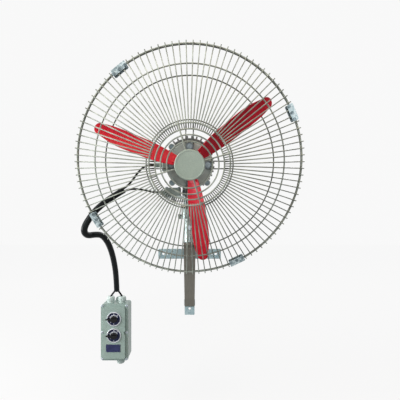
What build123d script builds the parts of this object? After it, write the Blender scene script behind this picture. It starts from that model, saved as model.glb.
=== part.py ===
from build123d import *
import os
from math import atan, cos, degrees, hypot, pi, radians, sin, tan

# Wall mounted oscillating fan: a caged three-bladed rotor on a finned motor, carried by a
# tilting saddle and a motor-driven swivel on a welded wall bracket, with a hanging switch box.
# Millimetres. The origin is the middle of the cross bar on the wall, +Z is up, +X is to the
# viewer's right and the fan blows towards -Y. The wall is the plane y = 0.

# ---------------------------------------------------------------- driving dimensions
# wall bracket
STEEL_WIDTH = 40.0
PLATE = 5.0
BAR_LENGTH = 253.0
BAR_HOLE_PITCH = 212.0
BAR_HOLE = 10.0
SLOT_HOLE_PITCH = 182.0
SLOT_HOLE = 7.0
FOOT_BOTTOM = -247.0
FOOT_LENGTH = 62.0
FOOT_HOLE_Z = -222.0
UPRIGHT = 6.0
UPRIGHT_TOP = 84.0
STRUT_FOOT_Z = -211.0
ARM_TOP = 60.0
SECTION_DEPTH = 20.0
SECTION_WALL = 2.5
CORNER = 3.0

# post and swivel
POST_Y = -180.0
ARM_OVERHANG = 29.0
POST_OUTER = 38.0
POST_BORE = 32.0
POST_TOP = 182.0
SPIGOT_HEIGHT = 60.0
POST_SCREW_Z = 111.0
COLLAR_OUTER = 57.0
COLLAR_HEIGHT = 41.0
LOCK_Z = 147.0
LOCK_SCREW = 8.0
LOCK_KNOB = 17.0
SPINDLE = 28.0
BUSH_HEIGHT = 56.0
WASHER = 2.0
NECK = 42.0
NECK_TOP = 214.0
SHELF = 5.0

# swing drive
CRANK_X = -58.0
CRANK_Y = 10.0
CRANK_RADIUS = 26.0
LUG_RADIUS = 36.0
LINK_THICKNESS = 5.0
LINK_WIDTH = 10.0
PIN = 8.0
LUG_PIN = 7.0
LINK_EYE = 15.0
EYE_SHIFT = 0.9
GEARBOX_LEFT = -84.0
GEARBOX_WIDTH = 54.0
GEARBOX_FRONT = -205.0
GEARBOX_DEPTH = 52.0
GEARBOX_HEIGHT = 28.0
CASTING_WALL = 4.0

# tilt
TILT_DOWN = 10.3
TILT_PIVOT_Z = 231.0
TILT_BOLT = 12.0
TONGUE_WIDTH = 16.0
EAR_THICKNESS = 7.0
EAR_RADIUS = 11.5

# head: lengths along the fan axis are measured forward from the rim plane of the cage
RIM_Y = -306.0
RIM_Z = 305.0
MOTOR_FRONT = -45.0
SHIELD = 12.0
MOTOR_BODY_LENGTH = 133.0
MOTOR_CORE = 132.0
MOTOR_BORE = 116.0
FIN_COUNT = 36
FIN = 5.5
FIN_TIP = 162.0
LOW_FIN_TIP = 154.0
TOP_FIN_TIP = 184.0
REAR_FLANGE = 168.0
TOP_FLANGE = 190.0
REAR_FLANGE_SHEET = 6.0
SHIELD_OUTER = 142.0
LUG_CENTRE = 80.0
LUG_RADIUS_OUTER = 10.0
FACE_BOLT_RADIUS = 58.0
SHAFT = 17.0
BEARING_OUTER = 40.0
ROTOR_CORE = 79.0
STATOR_BORE = 80.6

# rotor
SWEEP = 600.0
ROTOR_D = 5.0
HUB = 80.0
HUB_LENGTH = 32.0
BLADES = 3
BLADE_START = 30.0
BLADE_SHEET = 2.4
TANG_THICKNESS = 5.0
TANG_WIDTH = 24.0
TANG_INNER = 30.0
TANG_OUTER = 54.0
# radius, clockwise edge angle, anticlockwise edge angle, pitch of each blade section
BLADE_SECTIONS = (
    (42.5, -6.2, 30.0, 39.0),
    (55.0, -5.1, 27.3, 37.7),
    (95.0, -3.0, 23.2, 35.0),
    (140.0, -0.8, 19.4, 31.0),
    (185.0, 1.2, 17.0, 28.0),
    (230.0, 2.7, 14.9, 24.0),
    (262.0, 3.8, 12.8, 21.0),
    (285.0, 5.0, 11.4, 19.0),
    (303.0, 5.9, 10.4, 18.0),
)
BLADE_TIP = 17.0

# cage
WIRES = 108
WIRE = 3.2
RING = 4.0
RIM_RING = 5.0
RIM_RADIUS = 341.0
WIRE_END = RIM_RADIUS + 7.0
FRONT_TIP_RADIUS = 106.0
FRONT_RING_RADIUS = RIM_RADIUS - 63.0
CENTRE_RINGS = (62.0, 79.0, 94.0, 110.0)
SPOKE_D = 113.0
FRONT_TIP_D = SPOKE_D - RING - (RING + WIRE) / 2
SPOKE_ANGLES = (16.0, 106.0, 196.0, 286.0)
BACK_TIP_RADIUS = 113.0
BACK_TIP_D = -62.0
BACK_RING_RADIUS = RIM_RADIUS - 75.0
BACK_INNER_RING = 141.0
CAP = 82.0
CAP_THICKNESS = 7.0
CLIP_ANGLES = (26.67, 126.67, 210.0, 296.67)
CLIP_LENGTH = 50.0
CLIP_SHEET = 2.0
CLIP_BOLT = 5.0
CLIP_EDGE = 5.6
CLIP_BOLT_RADIUS = RIM_RADIUS - (RIM_RING + CLIP_BOLT) / 2 - 0.4
CLIP_INNER = CLIP_BOLT_RADIUS - CLIP_EDGE

# cables
CABLE = 7.0
SLEEVE = 21.0
SLEEVE_BORE = 17.0

# switch box
BOX_X = -289.0
BOX_Z = -295.5
BOX_WIDTH = 104.0
BOX_HEIGHT = 214.0
BOX_DEPTH = 58.0
FLANGE_WIDTH = BOX_WIDTH + 2.0
FLANGE_HEIGHT = BOX_HEIGHT + 3.0
FLANGE = 6.0
PANEL_WIDTH = BOX_WIDTH - 20.0
PANEL_HEIGHT = BOX_HEIGHT - 18.0
PANEL_RISE = 10.0
LID_WALL = 4.0
LID_SCREW_X = BOX_WIDTH / 2 - 5.5
LID_SCREW_Z = BOX_HEIGHT / 2 - 5.0
SWITCH_Z = (BOX_Z + 54.5, BOX_Z - 8.5)
BEZEL = 55.0
DIAL = 47.0
KNOB = 24.0
KNOB_SHAFT = 8.0
NAMEPLATE_Z = BOX_Z - 57.5
NAMEPLATE_WIDTH = 55.0
NAMEPLATE_HEIGHT = 29.0
GLAND_X = (-312.0, -267.0)
BLANK_X = -272.0
GLAND_Y = -32.0
GLAND_OUTER = 30.0
GLAND_HEIGHT = 24.5
GLAND_SEAT = 4.0

# fits
FIT = 0.05
TOUCH = 0.02
GAP = 0.3

RUN_SHARE = 0.45

os.makedirs("parts", exist_ok=True)
nodes = {}


# ---------------------------------------------------------------- shape helpers
def rod(radius, low, high, x=0.0, y=0.0):
    return Pos(x, y, (low + high) / 2) * Cylinder(radius, high - low)


def tube(outer, inner, low, high, x=0.0, y=0.0):
    return rod(outer, low, high, x, y) - rod(inner, low - 1, high + 1, x, y)


def block(x0, x1, y0, y1, z0, z1):
    centre = Pos((x0 + x1) / 2, (y0 + y1) / 2, (z0 + z1) / 2)
    return centre * Box(x1 - x0, y1 - y0, z1 - z0)


def hexagon(flats, low, high, x=0.0, y=0.0):
    outline = RegularPolygon(flats / 2, 6, major_radius=False)
    return Pos(x, y, low) * extrude(outline, high - low)


def hoop(radius, d, wire):
    return Pos(0, 0, d) * Torus(radius, wire / 2)


def bolt(flats, head, diameter, length, x=0.0, y=0.0, seat=0.0):
    """Hexagon bolt along Z: the head stands on z = seat, the shank goes down from it."""
    return hexagon(flats, seat, seat + head, x, y) + rod(diameter / 2, seat - length, seat + head / 2, x, y)


def nut(flats, thickness, diameter, low, x=0.0, y=0.0):
    return hexagon(flats, low, low + thickness, x, y) - rod(diameter / 2, low - 1, low + thickness + 1, x, y)


def dome_screw(head_radius, head, diameter, length, x=0.0, y=0.0, seat=0.0):
    top = rod(head_radius, seat, seat + head, x, y)
    top = fillet(top.edges().group_by(Axis.Z)[-1], head * 0.6)
    return top + rod(diameter / 2, seat - length, seat + head / 2, x, y)


def polar(radius, angle):
    return radius * cos(radians(angle)), radius * sin(radians(angle))


def around(shape, angles):
    return [Rot(0, 0, a) * shape for a in angles]


def group(*items):
    flat = []
    for item in items:
        flat.extend(item if isinstance(item, (list, tuple)) else [item])
    return Compound(children=flat) if len(flat) > 1 else flat[0]


TO_FRONT = Rot(90, 0, 0)
TO_LEFT = Rot(0, -90, 0)
HEAD = Plane(
    origin=(0, RIM_Y, RIM_Z),
    x_dir=(1, 0, 0),
    z_dir=(0, -cos(radians(TILT_DOWN)), -sin(radians(TILT_DOWN))),
).location


def in_head(shape):
    return HEAD * shape


# ---------------------------------------------------------------- wall bracket
def wall_bar():
    half = STEEL_WIDTH / 2
    bar = block(-BAR_LENGTH / 2, BAR_LENGTH / 2, -PLATE, 0, -half, half)
    bar = fillet(bar.edges().filter_by(Axis.Y), CORNER)
    for pitch, hole in ((BAR_HOLE_PITCH, BAR_HOLE), (SLOT_HOLE_PITCH, SLOT_HOLE)):
        for side in (-1, 1):
            bar -= TO_FRONT * rod(hole / 2, -1, PLATE + 1, side * pitch / 2, 0)
    return bar


def foot():
    half = STEEL_WIDTH / 2
    plate = block(-half, half, -PLATE, 0, FOOT_BOTTOM, FOOT_BOTTOM + FOOT_LENGTH)
    plate = fillet(plate.edges().filter_by(Axis.Y), CORNER)
    return plate - TO_FRONT * rod(BAR_HOLE / 2, -1, PLATE + 1, 0, FOOT_HOLE_Z)


UPRIGHT_FRONT = -PLATE - UPRIGHT
ARM_FRONT = POST_Y - ARM_OVERHANG
ARM_BOTTOM = ARM_TOP - SECTION_DEPTH


def upright():
    half = STEEL_WIDTH / 2
    bar = block(-half, half, UPRIGHT_FRONT, -PLATE, STRUT_FOOT_Z, UPRIGHT_TOP)
    return fillet(bar.edges().filter_by(Axis.Y).group_by(Axis.Z)[-1], CORNER)


def arm():
    half = STEEL_WIDTH / 2
    inner = half - SECTION_WALL
    outer = block(-half, half, ARM_FRONT, UPRIGHT_FRONT, ARM_BOTTOM, ARM_TOP)
    hollow = block(
        -inner, inner, ARM_FRONT + SECTION_WALL, UPRIGHT_FRONT + 1,
        ARM_BOTTOM + SECTION_WALL, ARM_TOP - SECTION_WALL,
    )
    return outer - hollow


def strut_prism(inset, reach):
    """The strut's parallelogram, its long faces moved in by inset, its ends out by reach."""
    run_y = UPRIGHT_FRONT - ARM_FRONT
    run_z = STRUT_FOOT_Z - ARM_BOTTOM
    length = hypot(run_y, run_z)
    across = SECTION_DEPTH * length / -run_z
    shift = inset * length / -run_z
    front, back = ARM_FRONT + shift, ARM_FRONT + across - shift
    slope = run_z / run_y
    top, wall = ARM_BOTTOM + reach, UPRIGHT_FRONT + reach
    corners = []
    for start in (front, back):
        corners.append((start + reach / slope, top))
        corners.append((wall, ARM_BOTTOM + slope * (wall - start)))
    ordered = [corners[0], corners[1], corners[3], corners[2]]
    outline = make_face(Polyline(*ordered, close=True))
    half = STEEL_WIDTH / 2 - inset
    return Pos(-half, 0, 0) * (Plane.YZ * extrude(outline, 2 * half))


def strut():
    return strut_prism(0, 0) - strut_prism(SECTION_WALL, 5)


nodes["wall_cross_bar"] = wall_bar()
nodes["foot_plate"] = foot()
nodes["wall_upright"] = upright()
nodes["support_arm"] = arm()
nodes["diagonal_strut"] = strut()


# ---------------------------------------------------------------- post, collar and swivel
def at_post(shape):
    return Pos(0, POST_Y, 0) * shape


SPIGOT_TOP = ARM_TOP + SPIGOT_HEIGHT
POST_SCREW = 8.0
POST_SCREW_HEAD = 5.0
POST_SCREW_DEPTH = 12.0


def post_screw_hole(inner, outer):
    return Rot(90, 0, 0) * rod(POST_SCREW / 2 + FIT, inner, outer)


def post():
    pipe = tube(POST_OUTER / 2, POST_BORE / 2, ARM_TOP, POST_TOP)
    pipe -= Pos(0, 0, POST_SCREW_Z) * post_screw_hole(0, POST_OUTER)
    return at_post(pipe)


def spigot():
    plug = rod(POST_BORE / 2 - FIT, ARM_TOP, SPIGOT_TOP)
    plug = chamfer(plug.edges().group_by(Axis.Z)[-1], 1.5)
    bottom = POST_OUTER / 2 - POST_SCREW_DEPTH - 0.5
    plug -= Pos(0, 0, POST_SCREW_Z) * post_screw_hole(bottom, POST_OUTER)
    return at_post(plug)


def post_screw():
    screw = bolt(13, POST_SCREW_HEAD, POST_SCREW, POST_SCREW_DEPTH, seat=POST_OUTER / 2 + TOUCH)
    return at_post(Pos(0, 0, POST_SCREW_Z) * (TO_FRONT * screw))


COLLAR_BOTTOM = POST_TOP - COLLAR_HEIGHT
LUG_TOP = 208.0
LINK_LOW = 202.0
LINK_HIGH = LINK_LOW + LINK_THICKNESS


def collar():
    outer = COLLAR_OUTER / 2
    body = rod(outer, COLLAR_BOTTOM, POST_TOP)
    body = fillet(body.edges().group_by(Axis.Z)[0], 2.5)
    boss = Pos(0, 0, LOCK_Z + 2) * (TO_LEFT * rod(8, 10, outer + 3))
    lug = block(-7, 7, 0, LUG_RADIUS, POST_TOP - 12, POST_TOP)
    lug += rod(7, POST_TOP - 12, POST_TOP, 0, LUG_RADIUS)
    body = body + boss + lug
    body -= rod(POST_OUTER / 2 + TOUCH, COLLAR_BOTTOM - 1, POST_TOP + 1)
    body -= Pos(0, 0, LOCK_Z + 2) * (TO_LEFT * rod(LOCK_SCREW / 2 + FIT, 5, outer + 10))
    body += rod(LUG_PIN / 2, POST_TOP - 2, LUG_TOP, 0, LUG_RADIUS)
    return at_post(body)


def lock_knob():
    start = POST_OUTER / 2 + FIT
    head_low = COLLAR_OUTER / 2 + 3 + GAP
    head = rod(LOCK_KNOB / 2, head_low, head_low + 8)
    for a in range(0, 360, 45):
        x, y = polar(LOCK_KNOB / 2 + 0.6, a)
        head -= rod(1.6, head_low + 1.5, head_low + 9, x, y)
    screw = head + rod(LOCK_SCREW / 2, start, head_low + 1)
    return at_post(Pos(0, 0, LOCK_Z + 2) * (TO_LEFT * screw))


def bush():
    top = POST_TOP - 1
    return at_post(tube(POST_BORE / 2 - TOUCH, SPINDLE / 2 + FIT, top - BUSH_HEIGHT, top))


NECK_BOTTOM = POST_TOP + WASHER
WASHER_OUTER = COLLAR_OUTER / 2 - 0.5


def washer():
    return at_post(tube(WASHER_OUTER, SPINDLE / 2 + GAP, POST_TOP, NECK_BOTTOM))


SHELF_TOP = NECK_TOP + SHELF
GEARBOX_RIGHT = GEARBOX_LEFT + GEARBOX_WIDTH
GEARBOX_BACK = GEARBOX_FRONT + GEARBOX_DEPTH


def neck():
    flange = rod(WASHER_OUTER, NECK_BOTTOM, NECK_BOTTOM + 8)
    flange = fillet(flange.edges().group_by(Axis.Z)[-1], 3)
    spindle = rod(SPINDLE / 2, POST_TOP - 1 - BUSH_HEIGHT, NECK_BOTTOM + 1)
    body = rod(NECK / 2, NECK_BOTTOM + 4, NECK_TOP + 1)
    front, back = GEARBOX_FRONT - POST_Y, GEARBOX_BACK - POST_Y
    shelf = block(GEARBOX_LEFT, 18, front, back, NECK_TOP, SHELF_TOP)
    shelf = fillet(shelf.edges().filter_by(Axis.Z), 6)
    half = TONGUE_WIDTH / 2
    tongue = block(-half, half, -EAR_RADIUS, EAR_RADIUS, SHELF_TOP - 1, TILT_PIVOT_Z)
    tongue += Pos(0, 0, TILT_PIVOT_Z) * (TO_LEFT * rod(EAR_RADIUS, -half, half))
    solid = flange + spindle + body + shelf + tongue
    solid -= Pos(0, 0, TILT_PIVOT_Z) * (TO_LEFT * rod(TILT_BOLT / 2, -half - 1, half + 1))
    solid -= rod(CRANK_SHAFT / 2 + GAP, NECK_TOP - 1, SHELF_TOP + 1, CRANK_X, CRANK_Y)
    for x, y in GEARBOX_SCREWS:
        solid -= rod(2.5 + FIT, NECK_TOP - 1, SHELF_TOP + 1, x, y)
    return at_post(solid)


CRANK_SHAFT = 10.0
CRANK_ARM_LOW = LINK_HIGH + 0.6
CRANK_ARM_HIGH = NECK_TOP - 0.5
GEARBOX_CENTRE = ((GEARBOX_LEFT + GEARBOX_RIGHT) / 2, (GEARBOX_FRONT + GEARBOX_BACK) / 2 - POST_Y)
GEARBOX_SCREW_X = GEARBOX_WIDTH / 2 - 6
GEARBOX_SCREW_Y = GEARBOX_DEPTH / 2 - 6
GEARBOX_SCREWS = [
    (GEARBOX_CENTRE[0] + sx * GEARBOX_SCREW_X, GEARBOX_CENTRE[1] + sy * GEARBOX_SCREW_Y)
    for sx in (-1, 1) for sy in (-1, 1)
]
GEARBOX_TOP = SHELF_TOP + GEARBOX_HEIGHT
COVER = 5.0
GEARMOTOR_RADIUS = 19.0


def gearbox_housing():
    front, back = GEARBOX_FRONT - POST_Y, GEARBOX_BACK - POST_Y
    top = GEARBOX_TOP - COVER
    outer = block(GEARBOX_LEFT, GEARBOX_RIGHT, front, back, SHELF_TOP, top)
    outer = fillet(outer.edges().filter_by(Axis.Z), 6)
    wall = CASTING_WALL
    hollow = block(
        GEARBOX_LEFT + wall, GEARBOX_RIGHT - wall, front + wall, back - wall, SHELF_TOP + wall, top + 1
    )
    shell = outer - hollow
    for x, y in GEARBOX_SCREWS:
        shell += rod(5.5, SHELF_TOP, top, x, y)
        shell -= rod(2.5 + FIT, SHELF_TOP - 1, top + 1, x, y)
    shell -= rod(CRANK_SHAFT / 2 + GAP, SHELF_TOP - 1, SHELF_TOP + 10, CRANK_X, CRANK_Y)
    gland_hole = TO_LEFT * rod(6 + FIT, -GEARBOX_LEFT - 8, -GEARBOX_LEFT + 8)
    shell -= Pos(0, SWING_GLAND_Y, SWING_GLAND_Z) * gland_hole
    return at_post(shell)


SWING_GLAND_Y = 2.0
SWING_GLAND_Z = SHELF_TOP + 13.0
SWING_GLAND_END = -GEARBOX_LEFT + 16.0


def gearbox_cover():
    front, back = GEARBOX_FRONT - POST_Y, GEARBOX_BACK - POST_Y
    plate = block(GEARBOX_LEFT, GEARBOX_RIGHT, front, back, GEARBOX_TOP - COVER, GEARBOX_TOP)
    plate = fillet(plate.edges().filter_by(Axis.Z), 6)
    plate = fillet(plate.edges().group_by(Axis.Z)[-1], 1.5)
    for x, y in GEARBOX_SCREWS:
        plate -= rod(2.5 + FIT, GEARBOX_TOP - COVER - 1, GEARBOX_TOP + 1, x, y)
    return at_post(plate)


def gearbox_screws():
    length = GEARBOX_TOP - NECK_TOP - 1
    return at_post(group([
        dome_screw(4.5, 3, 5, length, x, y, seat=GEARBOX_TOP) for x, y in GEARBOX_SCREWS
    ]))


def gearmotor():
    low = SHELF_TOP + CASTING_WALL
    can = rod(GEARMOTOR_RADIUS, low, low + 17, CRANK_X, CRANK_Y - 8)
    return at_post(can - rod(CRANK_SHAFT / 2 + FIT, low - 1, low + 12, CRANK_X, CRANK_Y))


def crank():
    shaft = rod(CRANK_SHAFT / 2, CRANK_ARM_LOW, SHELF_TOP + CASTING_WALL + 11)
    outline = SlotCenterToCenter(CRANK_RADIUS, 16)
    web = Rot(0, 0, 90) * extrude(outline, CRANK_ARM_HIGH - CRANK_ARM_LOW)
    web = Pos(0, CRANK_RADIUS / 2, CRANK_ARM_LOW) * web
    pin = rod(PIN / 2, LINK_LOW - 3, CRANK_ARM_LOW + 1, 0, CRANK_RADIUS)
    return at_post(Pos(CRANK_X, CRANK_Y, 0) * (shaft + web + pin))


def link():
    """The eye is loose on the lug pin, and set off to the side that the pin moves to."""
    span = -CRANK_X
    outline = SlotCenterToCenter(span, LINK_WIDTH)
    eye_y = LUG_RADIUS + EYE_SHIFT
    bar = Pos(-span / 2, LUG_RADIUS, LINK_LOW) * extrude(outline, LINK_THICKNESS)
    bar += rod(LINK_EYE / 2 + 3, LINK_LOW, LINK_HIGH, 0, eye_y)
    bar += rod(PIN / 2 + 3, LINK_LOW, LINK_HIGH, -span, LUG_RADIUS)
    bar -= rod(LINK_EYE / 2, LINK_LOW - 1, LINK_HIGH + 1, 0, eye_y)
    bar -= rod(PIN / 2 + FIT, LINK_LOW - 1, LINK_HIGH + 1, -span, LUG_RADIUS)
    return at_post(bar)


def side_gland(length, bore_depth):
    """Cable gland along Z: thread from -8 to 0, hexagon, rounded cap nut with a cable mouth."""
    thread = rod(6, -7, 1)
    body = hexagon(18, 0, 6) + rod(7, 5, length - 4)
    cap = rod(8.5, 7, length)
    cap = fillet(cap.edges().group_by(Axis.Z)[-1], 3)
    gland = thread + body + cap
    return gland - rod(CABLE / 2 + GAP, length - bore_depth, length + 1)


def swing_gland():
    gland = side_gland(SWING_GLAND_END + GEARBOX_LEFT, GLAND_SEAT)
    return at_post(Pos(GEARBOX_LEFT, SWING_GLAND_Y, SWING_GLAND_Z) * (TO_LEFT * gland))


nodes["post"] = post()
nodes["post_spigot"] = spigot()
nodes["post_screw"] = post_screw()
nodes["swivel_collar"] = collar()
nodes["lock_knob"] = lock_knob()
nodes["pivot_bush"] = bush()
nodes["thrust_washer"] = washer()
nodes["swivel_neck"] = neck()
nodes["gearbox_housing"] = gearbox_housing()
nodes["gearbox_cover"] = gearbox_cover()
nodes["gearbox_screws"] = gearbox_screws()
nodes["swing_gearmotor"] = gearmotor()
nodes["crank"] = crank()
nodes["drive_link"] = link()
nodes["swing_cable_gland"] = swing_gland()

# ---------------------------------------------------------------- tilt saddle (head frame)
PIVOT_FROM_RIM = Vector(0, POST_Y - RIM_Y, TILT_PIVOT_Z - RIM_Z)
PIVOT_D = -PIVOT_FROM_RIM.Y * cos(radians(TILT_DOWN)) - PIVOT_FROM_RIM.Z * sin(radians(TILT_DOWN))
PIVOT_H = -PIVOT_FROM_RIM.Y * sin(radians(TILT_DOWN)) + PIVOT_FROM_RIM.Z * cos(radians(TILT_DOWN))
EAR_IN = TONGUE_WIDTH / 2 + GAP
EAR_OUT = EAR_IN + EAR_THICKNESS
PAD_HALF = 24.0
PAD_REACH = 34.0
PAD_BOTTOM = PIVOT_H + EAR_RADIUS + 0.5
SADDLE_SCREWS = [(sx * 18.0, PIVOT_D + sd * 26.0) for sx in (-1, 1) for sd in (-1, 1)]
SADDLE_SCREW_LENGTH = 26.0


def at_pivot(shape):
    """A shape along X about the tilt bolt, given along Z about the origin."""
    return Pos(0, PIVOT_H, PIVOT_D) * (TO_LEFT * shape)


def upright_rod(radius, low, high, x, d):
    """A rod along the head's own up direction."""
    return Pos(x, 0, d) * (Rot(-90, 0, 0) * rod(radius, low, high))


def saddle():
    pad = block(-PAD_HALF, PAD_HALF, PAD_BOTTOM, -56, PIVOT_D - PAD_REACH, PIVOT_D + PAD_REACH)
    pad = fillet(pad.edges().filter_by(Axis.Y), 6)
    pad -= rod(MOTOR_CORE / 2 + TOUCH, PIVOT_D - 60, PIVOT_D + 60)
    for side in (-1, 1):
        low, high = sorted((side * EAR_IN, side * EAR_OUT))
        ear = block(low, high, PIVOT_H, PAD_BOTTOM + 2, PIVOT_D - EAR_RADIUS, PIVOT_D + EAR_RADIUS)
        ear += at_pivot(rod(EAR_RADIUS, -high, -low))
        pad += ear
    pad -= at_pivot(rod(TILT_BOLT / 2, -40, 40))
    for x, d in SADDLE_SCREWS:
        pad -= upright_rod(3 + FIT, PAD_BOTTOM - 2, -50, x, d)
    return pad


def tilt_bolt():
    """Bolt from the right, two washers, and a nut on the left."""
    washer_t, nut_t, head_t = 1.5, 8.0, 7.0
    shank = TILT_BOLT / 2 - FIT
    right = -EAR_OUT - washer_t
    left = EAR_OUT + washer_t
    pin = rod(shank, right - head_t / 2, left + nut_t + 1) + hexagon(18, right - head_t, right)
    washers = [tube(11, shank + FIT, right, -EAR_OUT), tube(11, shank + FIT, EAR_OUT, left)]
    return group(at_pivot(pin), [at_pivot(w) for w in washers], at_pivot(nut(18, nut_t, TILT_BOLT, left)))


# ---------------------------------------------------------------- motor (head frame)
SHIELD_BACK = MOTOR_FRONT - SHIELD
BODY_BACK = SHIELD_BACK - MOTOR_BODY_LENGTH
REAR_BACK = BODY_BACK - SHIELD - 2
LUG_ANGLES = (45, 135, 225, 315)
FACE_ANGLES = (0, 90, 180, 270)
BOX_ANGLE_HALF = 25.0


TOP_WIDTH = TOP_FLANGE / 2 * cos(radians(56))


def fin_angles():
    """Fins leave room for the lugs, the terminal box on the left and the saddle below."""
    step = 360 / FIN_COUNT
    for i in range(FIN_COUNT):
        a = (i + 0.5) * step
        near_lug = min(abs(a - lug) for lug in LUG_ANGLES) < 9
        near_box = abs(a - 180) < BOX_ANGLE_HALF
        near_saddle = abs(a - 270) < degrees(atan(PAD_HALF / (MOTOR_CORE / 2))) + 4
        if not (near_lug or near_box or near_saddle):
            yield a


def fin_tip(a):
    """Across the tips of the fins at this angle: tall on top, short above the gearbox."""
    if 50 < a < 130:
        return TOP_FIN_TIP
    return LOW_FIN_TIP if 195 < a < 262 else FIN_TIP


def lug_ears(low, high):
    ears = None
    for a in LUG_ANGLES:
        x, y = polar(LUG_CENTRE, a)
        bridge = Rot(0, 0, a) * block(MOTOR_CORE / 2 - 3, LUG_CENTRE, -7, 7, low, high)
        ear = bridge + rod(LUG_RADIUS_OUTER, low, high, x, y)
        ears = ear if ears is None else ears + ear
    return ears


def lug_holes(low, high, clearance):
    return [rod(4 + clearance, low, high, *polar(LUG_CENTRE, a)) for a in LUG_ANGLES]


def rear_flange():
    """Disc behind the fins, larger behind the tall ones on top."""
    high = BODY_BACK + REAR_FLANGE_SHEET
    reach = TOP_FLANGE / 2
    top = block(-TOP_WIDTH, TOP_WIDTH, 0, reach, BODY_BACK, high) & rod(reach, BODY_BACK, high)
    return rod(REAR_FLANGE / 2, BODY_BACK, high) + top


def motor_body():
    core = rod(MOTOR_CORE / 2, BODY_BACK, SHIELD_BACK)
    for a in fin_angles():
        tip = fin_tip(a) / 2
        fin = block(MOTOR_CORE / 2 - 2, tip, -FIN / 2, FIN / 2, BODY_BACK + 4, SHIELD_BACK - 4)
        core += Rot(0, 0, a) * fin
    core += lug_ears(SHIELD_BACK - 14, SHIELD_BACK) + lug_ears(BODY_BACK, BODY_BACK + 14)
    core += rear_flange()
    core += TERMINAL_PAD
    core -= rod(MOTOR_BORE / 2, BODY_BACK - 1, SHIELD_BACK + 1)
    for hole in lug_holes(BODY_BACK - 1, SHIELD_BACK + 1, FIT):
        core -= hole
    for x, d in SADDLE_SCREWS:
        core -= upright_rod(3 + FIT, -70, PAD_BOTTOM + SADDLE_SCREW_LENGTH + 0.5, x, d)
    for y, d in TERMINAL_SCREWS:
        core -= Pos(0, y, d) * (TO_LEFT * rod(2 + FIT, TERMINAL_IN - 7, TERMINAL_IN + 10))
    return core


TERMINAL_D = -125.0
TERMINAL_HALF_H = 22.0
TERMINAL_HALF_D = 30.0
TERMINAL_IN = 74.0
TERMINAL_OUT = 92.0
TERMINAL_PAD = block(
    -TERMINAL_IN, -50, -TERMINAL_HALF_H, TERMINAL_HALF_H,
    TERMINAL_D - TERMINAL_HALF_D, TERMINAL_D + TERMINAL_HALF_D,
)
TERMINAL_SCREWS = [(sy * 16.0, TERMINAL_D + sd * 24.0) for sy in (-1, 1) for sd in (-1, 1)]
MOTOR_GLAND_END = 122.0


def terminal_cover():
    half_h, half_d = TERMINAL_HALF_H, TERMINAL_HALF_D
    box = block(-TERMINAL_OUT, -TERMINAL_IN, -half_h, half_h, TERMINAL_D - half_d, TERMINAL_D + half_d)
    box = fillet(box.edges().filter_by(Axis.X), 5)
    box = fillet(box.edges().group_by(Axis.X)[0], 3)
    wall = CASTING_WALL
    box -= block(
        -TERMINAL_OUT + wall, -TERMINAL_IN + 1, 10 - half_h, half_h - 10,
        TERMINAL_D - half_d + 10, TERMINAL_D + half_d - 10,
    )
    for y, d in TERMINAL_SCREWS:
        box -= Pos(0, y, d) * (TO_LEFT * rod(2 + FIT, TERMINAL_IN - 1, TERMINAL_OUT + 1))
    return box - Pos(0, 0, TERMINAL_D) * (TO_LEFT * rod(6 + FIT, TERMINAL_OUT - 10, TERMINAL_OUT + 1))


def terminal_screw_set():
    return [
        Pos(0, y, d) * (TO_LEFT * dome_screw(3.6, 2.4, 4, TERMINAL_OUT - TERMINAL_IN + 6, seat=TERMINAL_OUT))
        for y, d in TERMINAL_SCREWS
    ]


def motor_gland():
    gland = side_gland(MOTOR_GLAND_END - TERMINAL_OUT, GLAND_SEAT)
    return Pos(-TERMINAL_OUT, 0, TERMINAL_D) * (TO_LEFT * gland)


def front_shield():
    disc = rod(SHIELD_OUTER / 2, SHIELD_BACK, MOTOR_FRONT)
    disc = fillet(disc.edges().group_by(Axis.Z)[-1], 3)
    boss = rod(26, MOTOR_FRONT - 1, MOTOR_FRONT + 7)
    boss = fillet(boss.edges().group_by(Axis.Z)[-1], 2)
    disc = disc + boss + lug_ears(SHIELD_BACK, MOTOR_FRONT - 2)
    disc -= rod(SHAFT / 2 + 1, SHIELD_BACK - 1, MOTOR_FRONT + 9)
    disc -= rod(BEARING_OUTER / 2 + TOUCH, SHIELD_BACK - 1, MOTOR_FRONT)
    for hole in lug_holes(SHIELD_BACK - 1, MOTOR_FRONT, FIT):
        disc -= hole
    for a in FACE_ANGLES:
        disc -= rod(3 + FIT, MOTOR_FRONT - 10, MOTOR_FRONT + 1, *polar(FACE_BOLT_RADIUS, a))
    return disc


def rear_shield():
    disc = rod(SHIELD_OUTER / 2, REAR_BACK, BODY_BACK)
    disc = fillet(disc.edges().group_by(Axis.Z)[0], 3)
    disc += lug_ears(BODY_BACK - SHIELD, BODY_BACK)
    disc -= rod(BEARING_OUTER / 2 + TOUCH, BODY_BACK - SHIELD, BODY_BACK + 1)
    disc -= rod(SHAFT / 2 + 1, REAR_BACK - 1, BODY_BACK + 1)
    for hole in lug_holes(REAR_BACK - 1, BODY_BACK + 1, FIT):
        disc -= hole
    for a in REAR_SCREW_ANGLES:
        disc -= rod(2 + FIT, REAR_BACK - 1, REAR_BACK + 8, *polar(REAR_SCREW_RADIUS, a))
    return disc


REAR_SCREW_ANGLES = (30, 150, 270)
REAR_SCREW_RADIUS = 50.0
REAR_COVER = 14.0
REAR_COVER_OUTER = 120.0


def rear_cover():
    dome = rod(REAR_COVER_OUTER / 2, REAR_BACK - REAR_COVER, REAR_BACK)
    dome = fillet(dome.edges().group_by(Axis.Z)[0], 8)
    dome -= rod(REAR_SCREW_RADIUS - 10, REAR_BACK - REAR_COVER + CASTING_WALL, REAR_BACK + 1)
    for a in REAR_SCREW_ANGLES:
        dome -= rod(2 + FIT, REAR_BACK - REAR_COVER - 1, REAR_BACK + 1, *polar(REAR_SCREW_RADIUS, a))
    return dome


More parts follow.
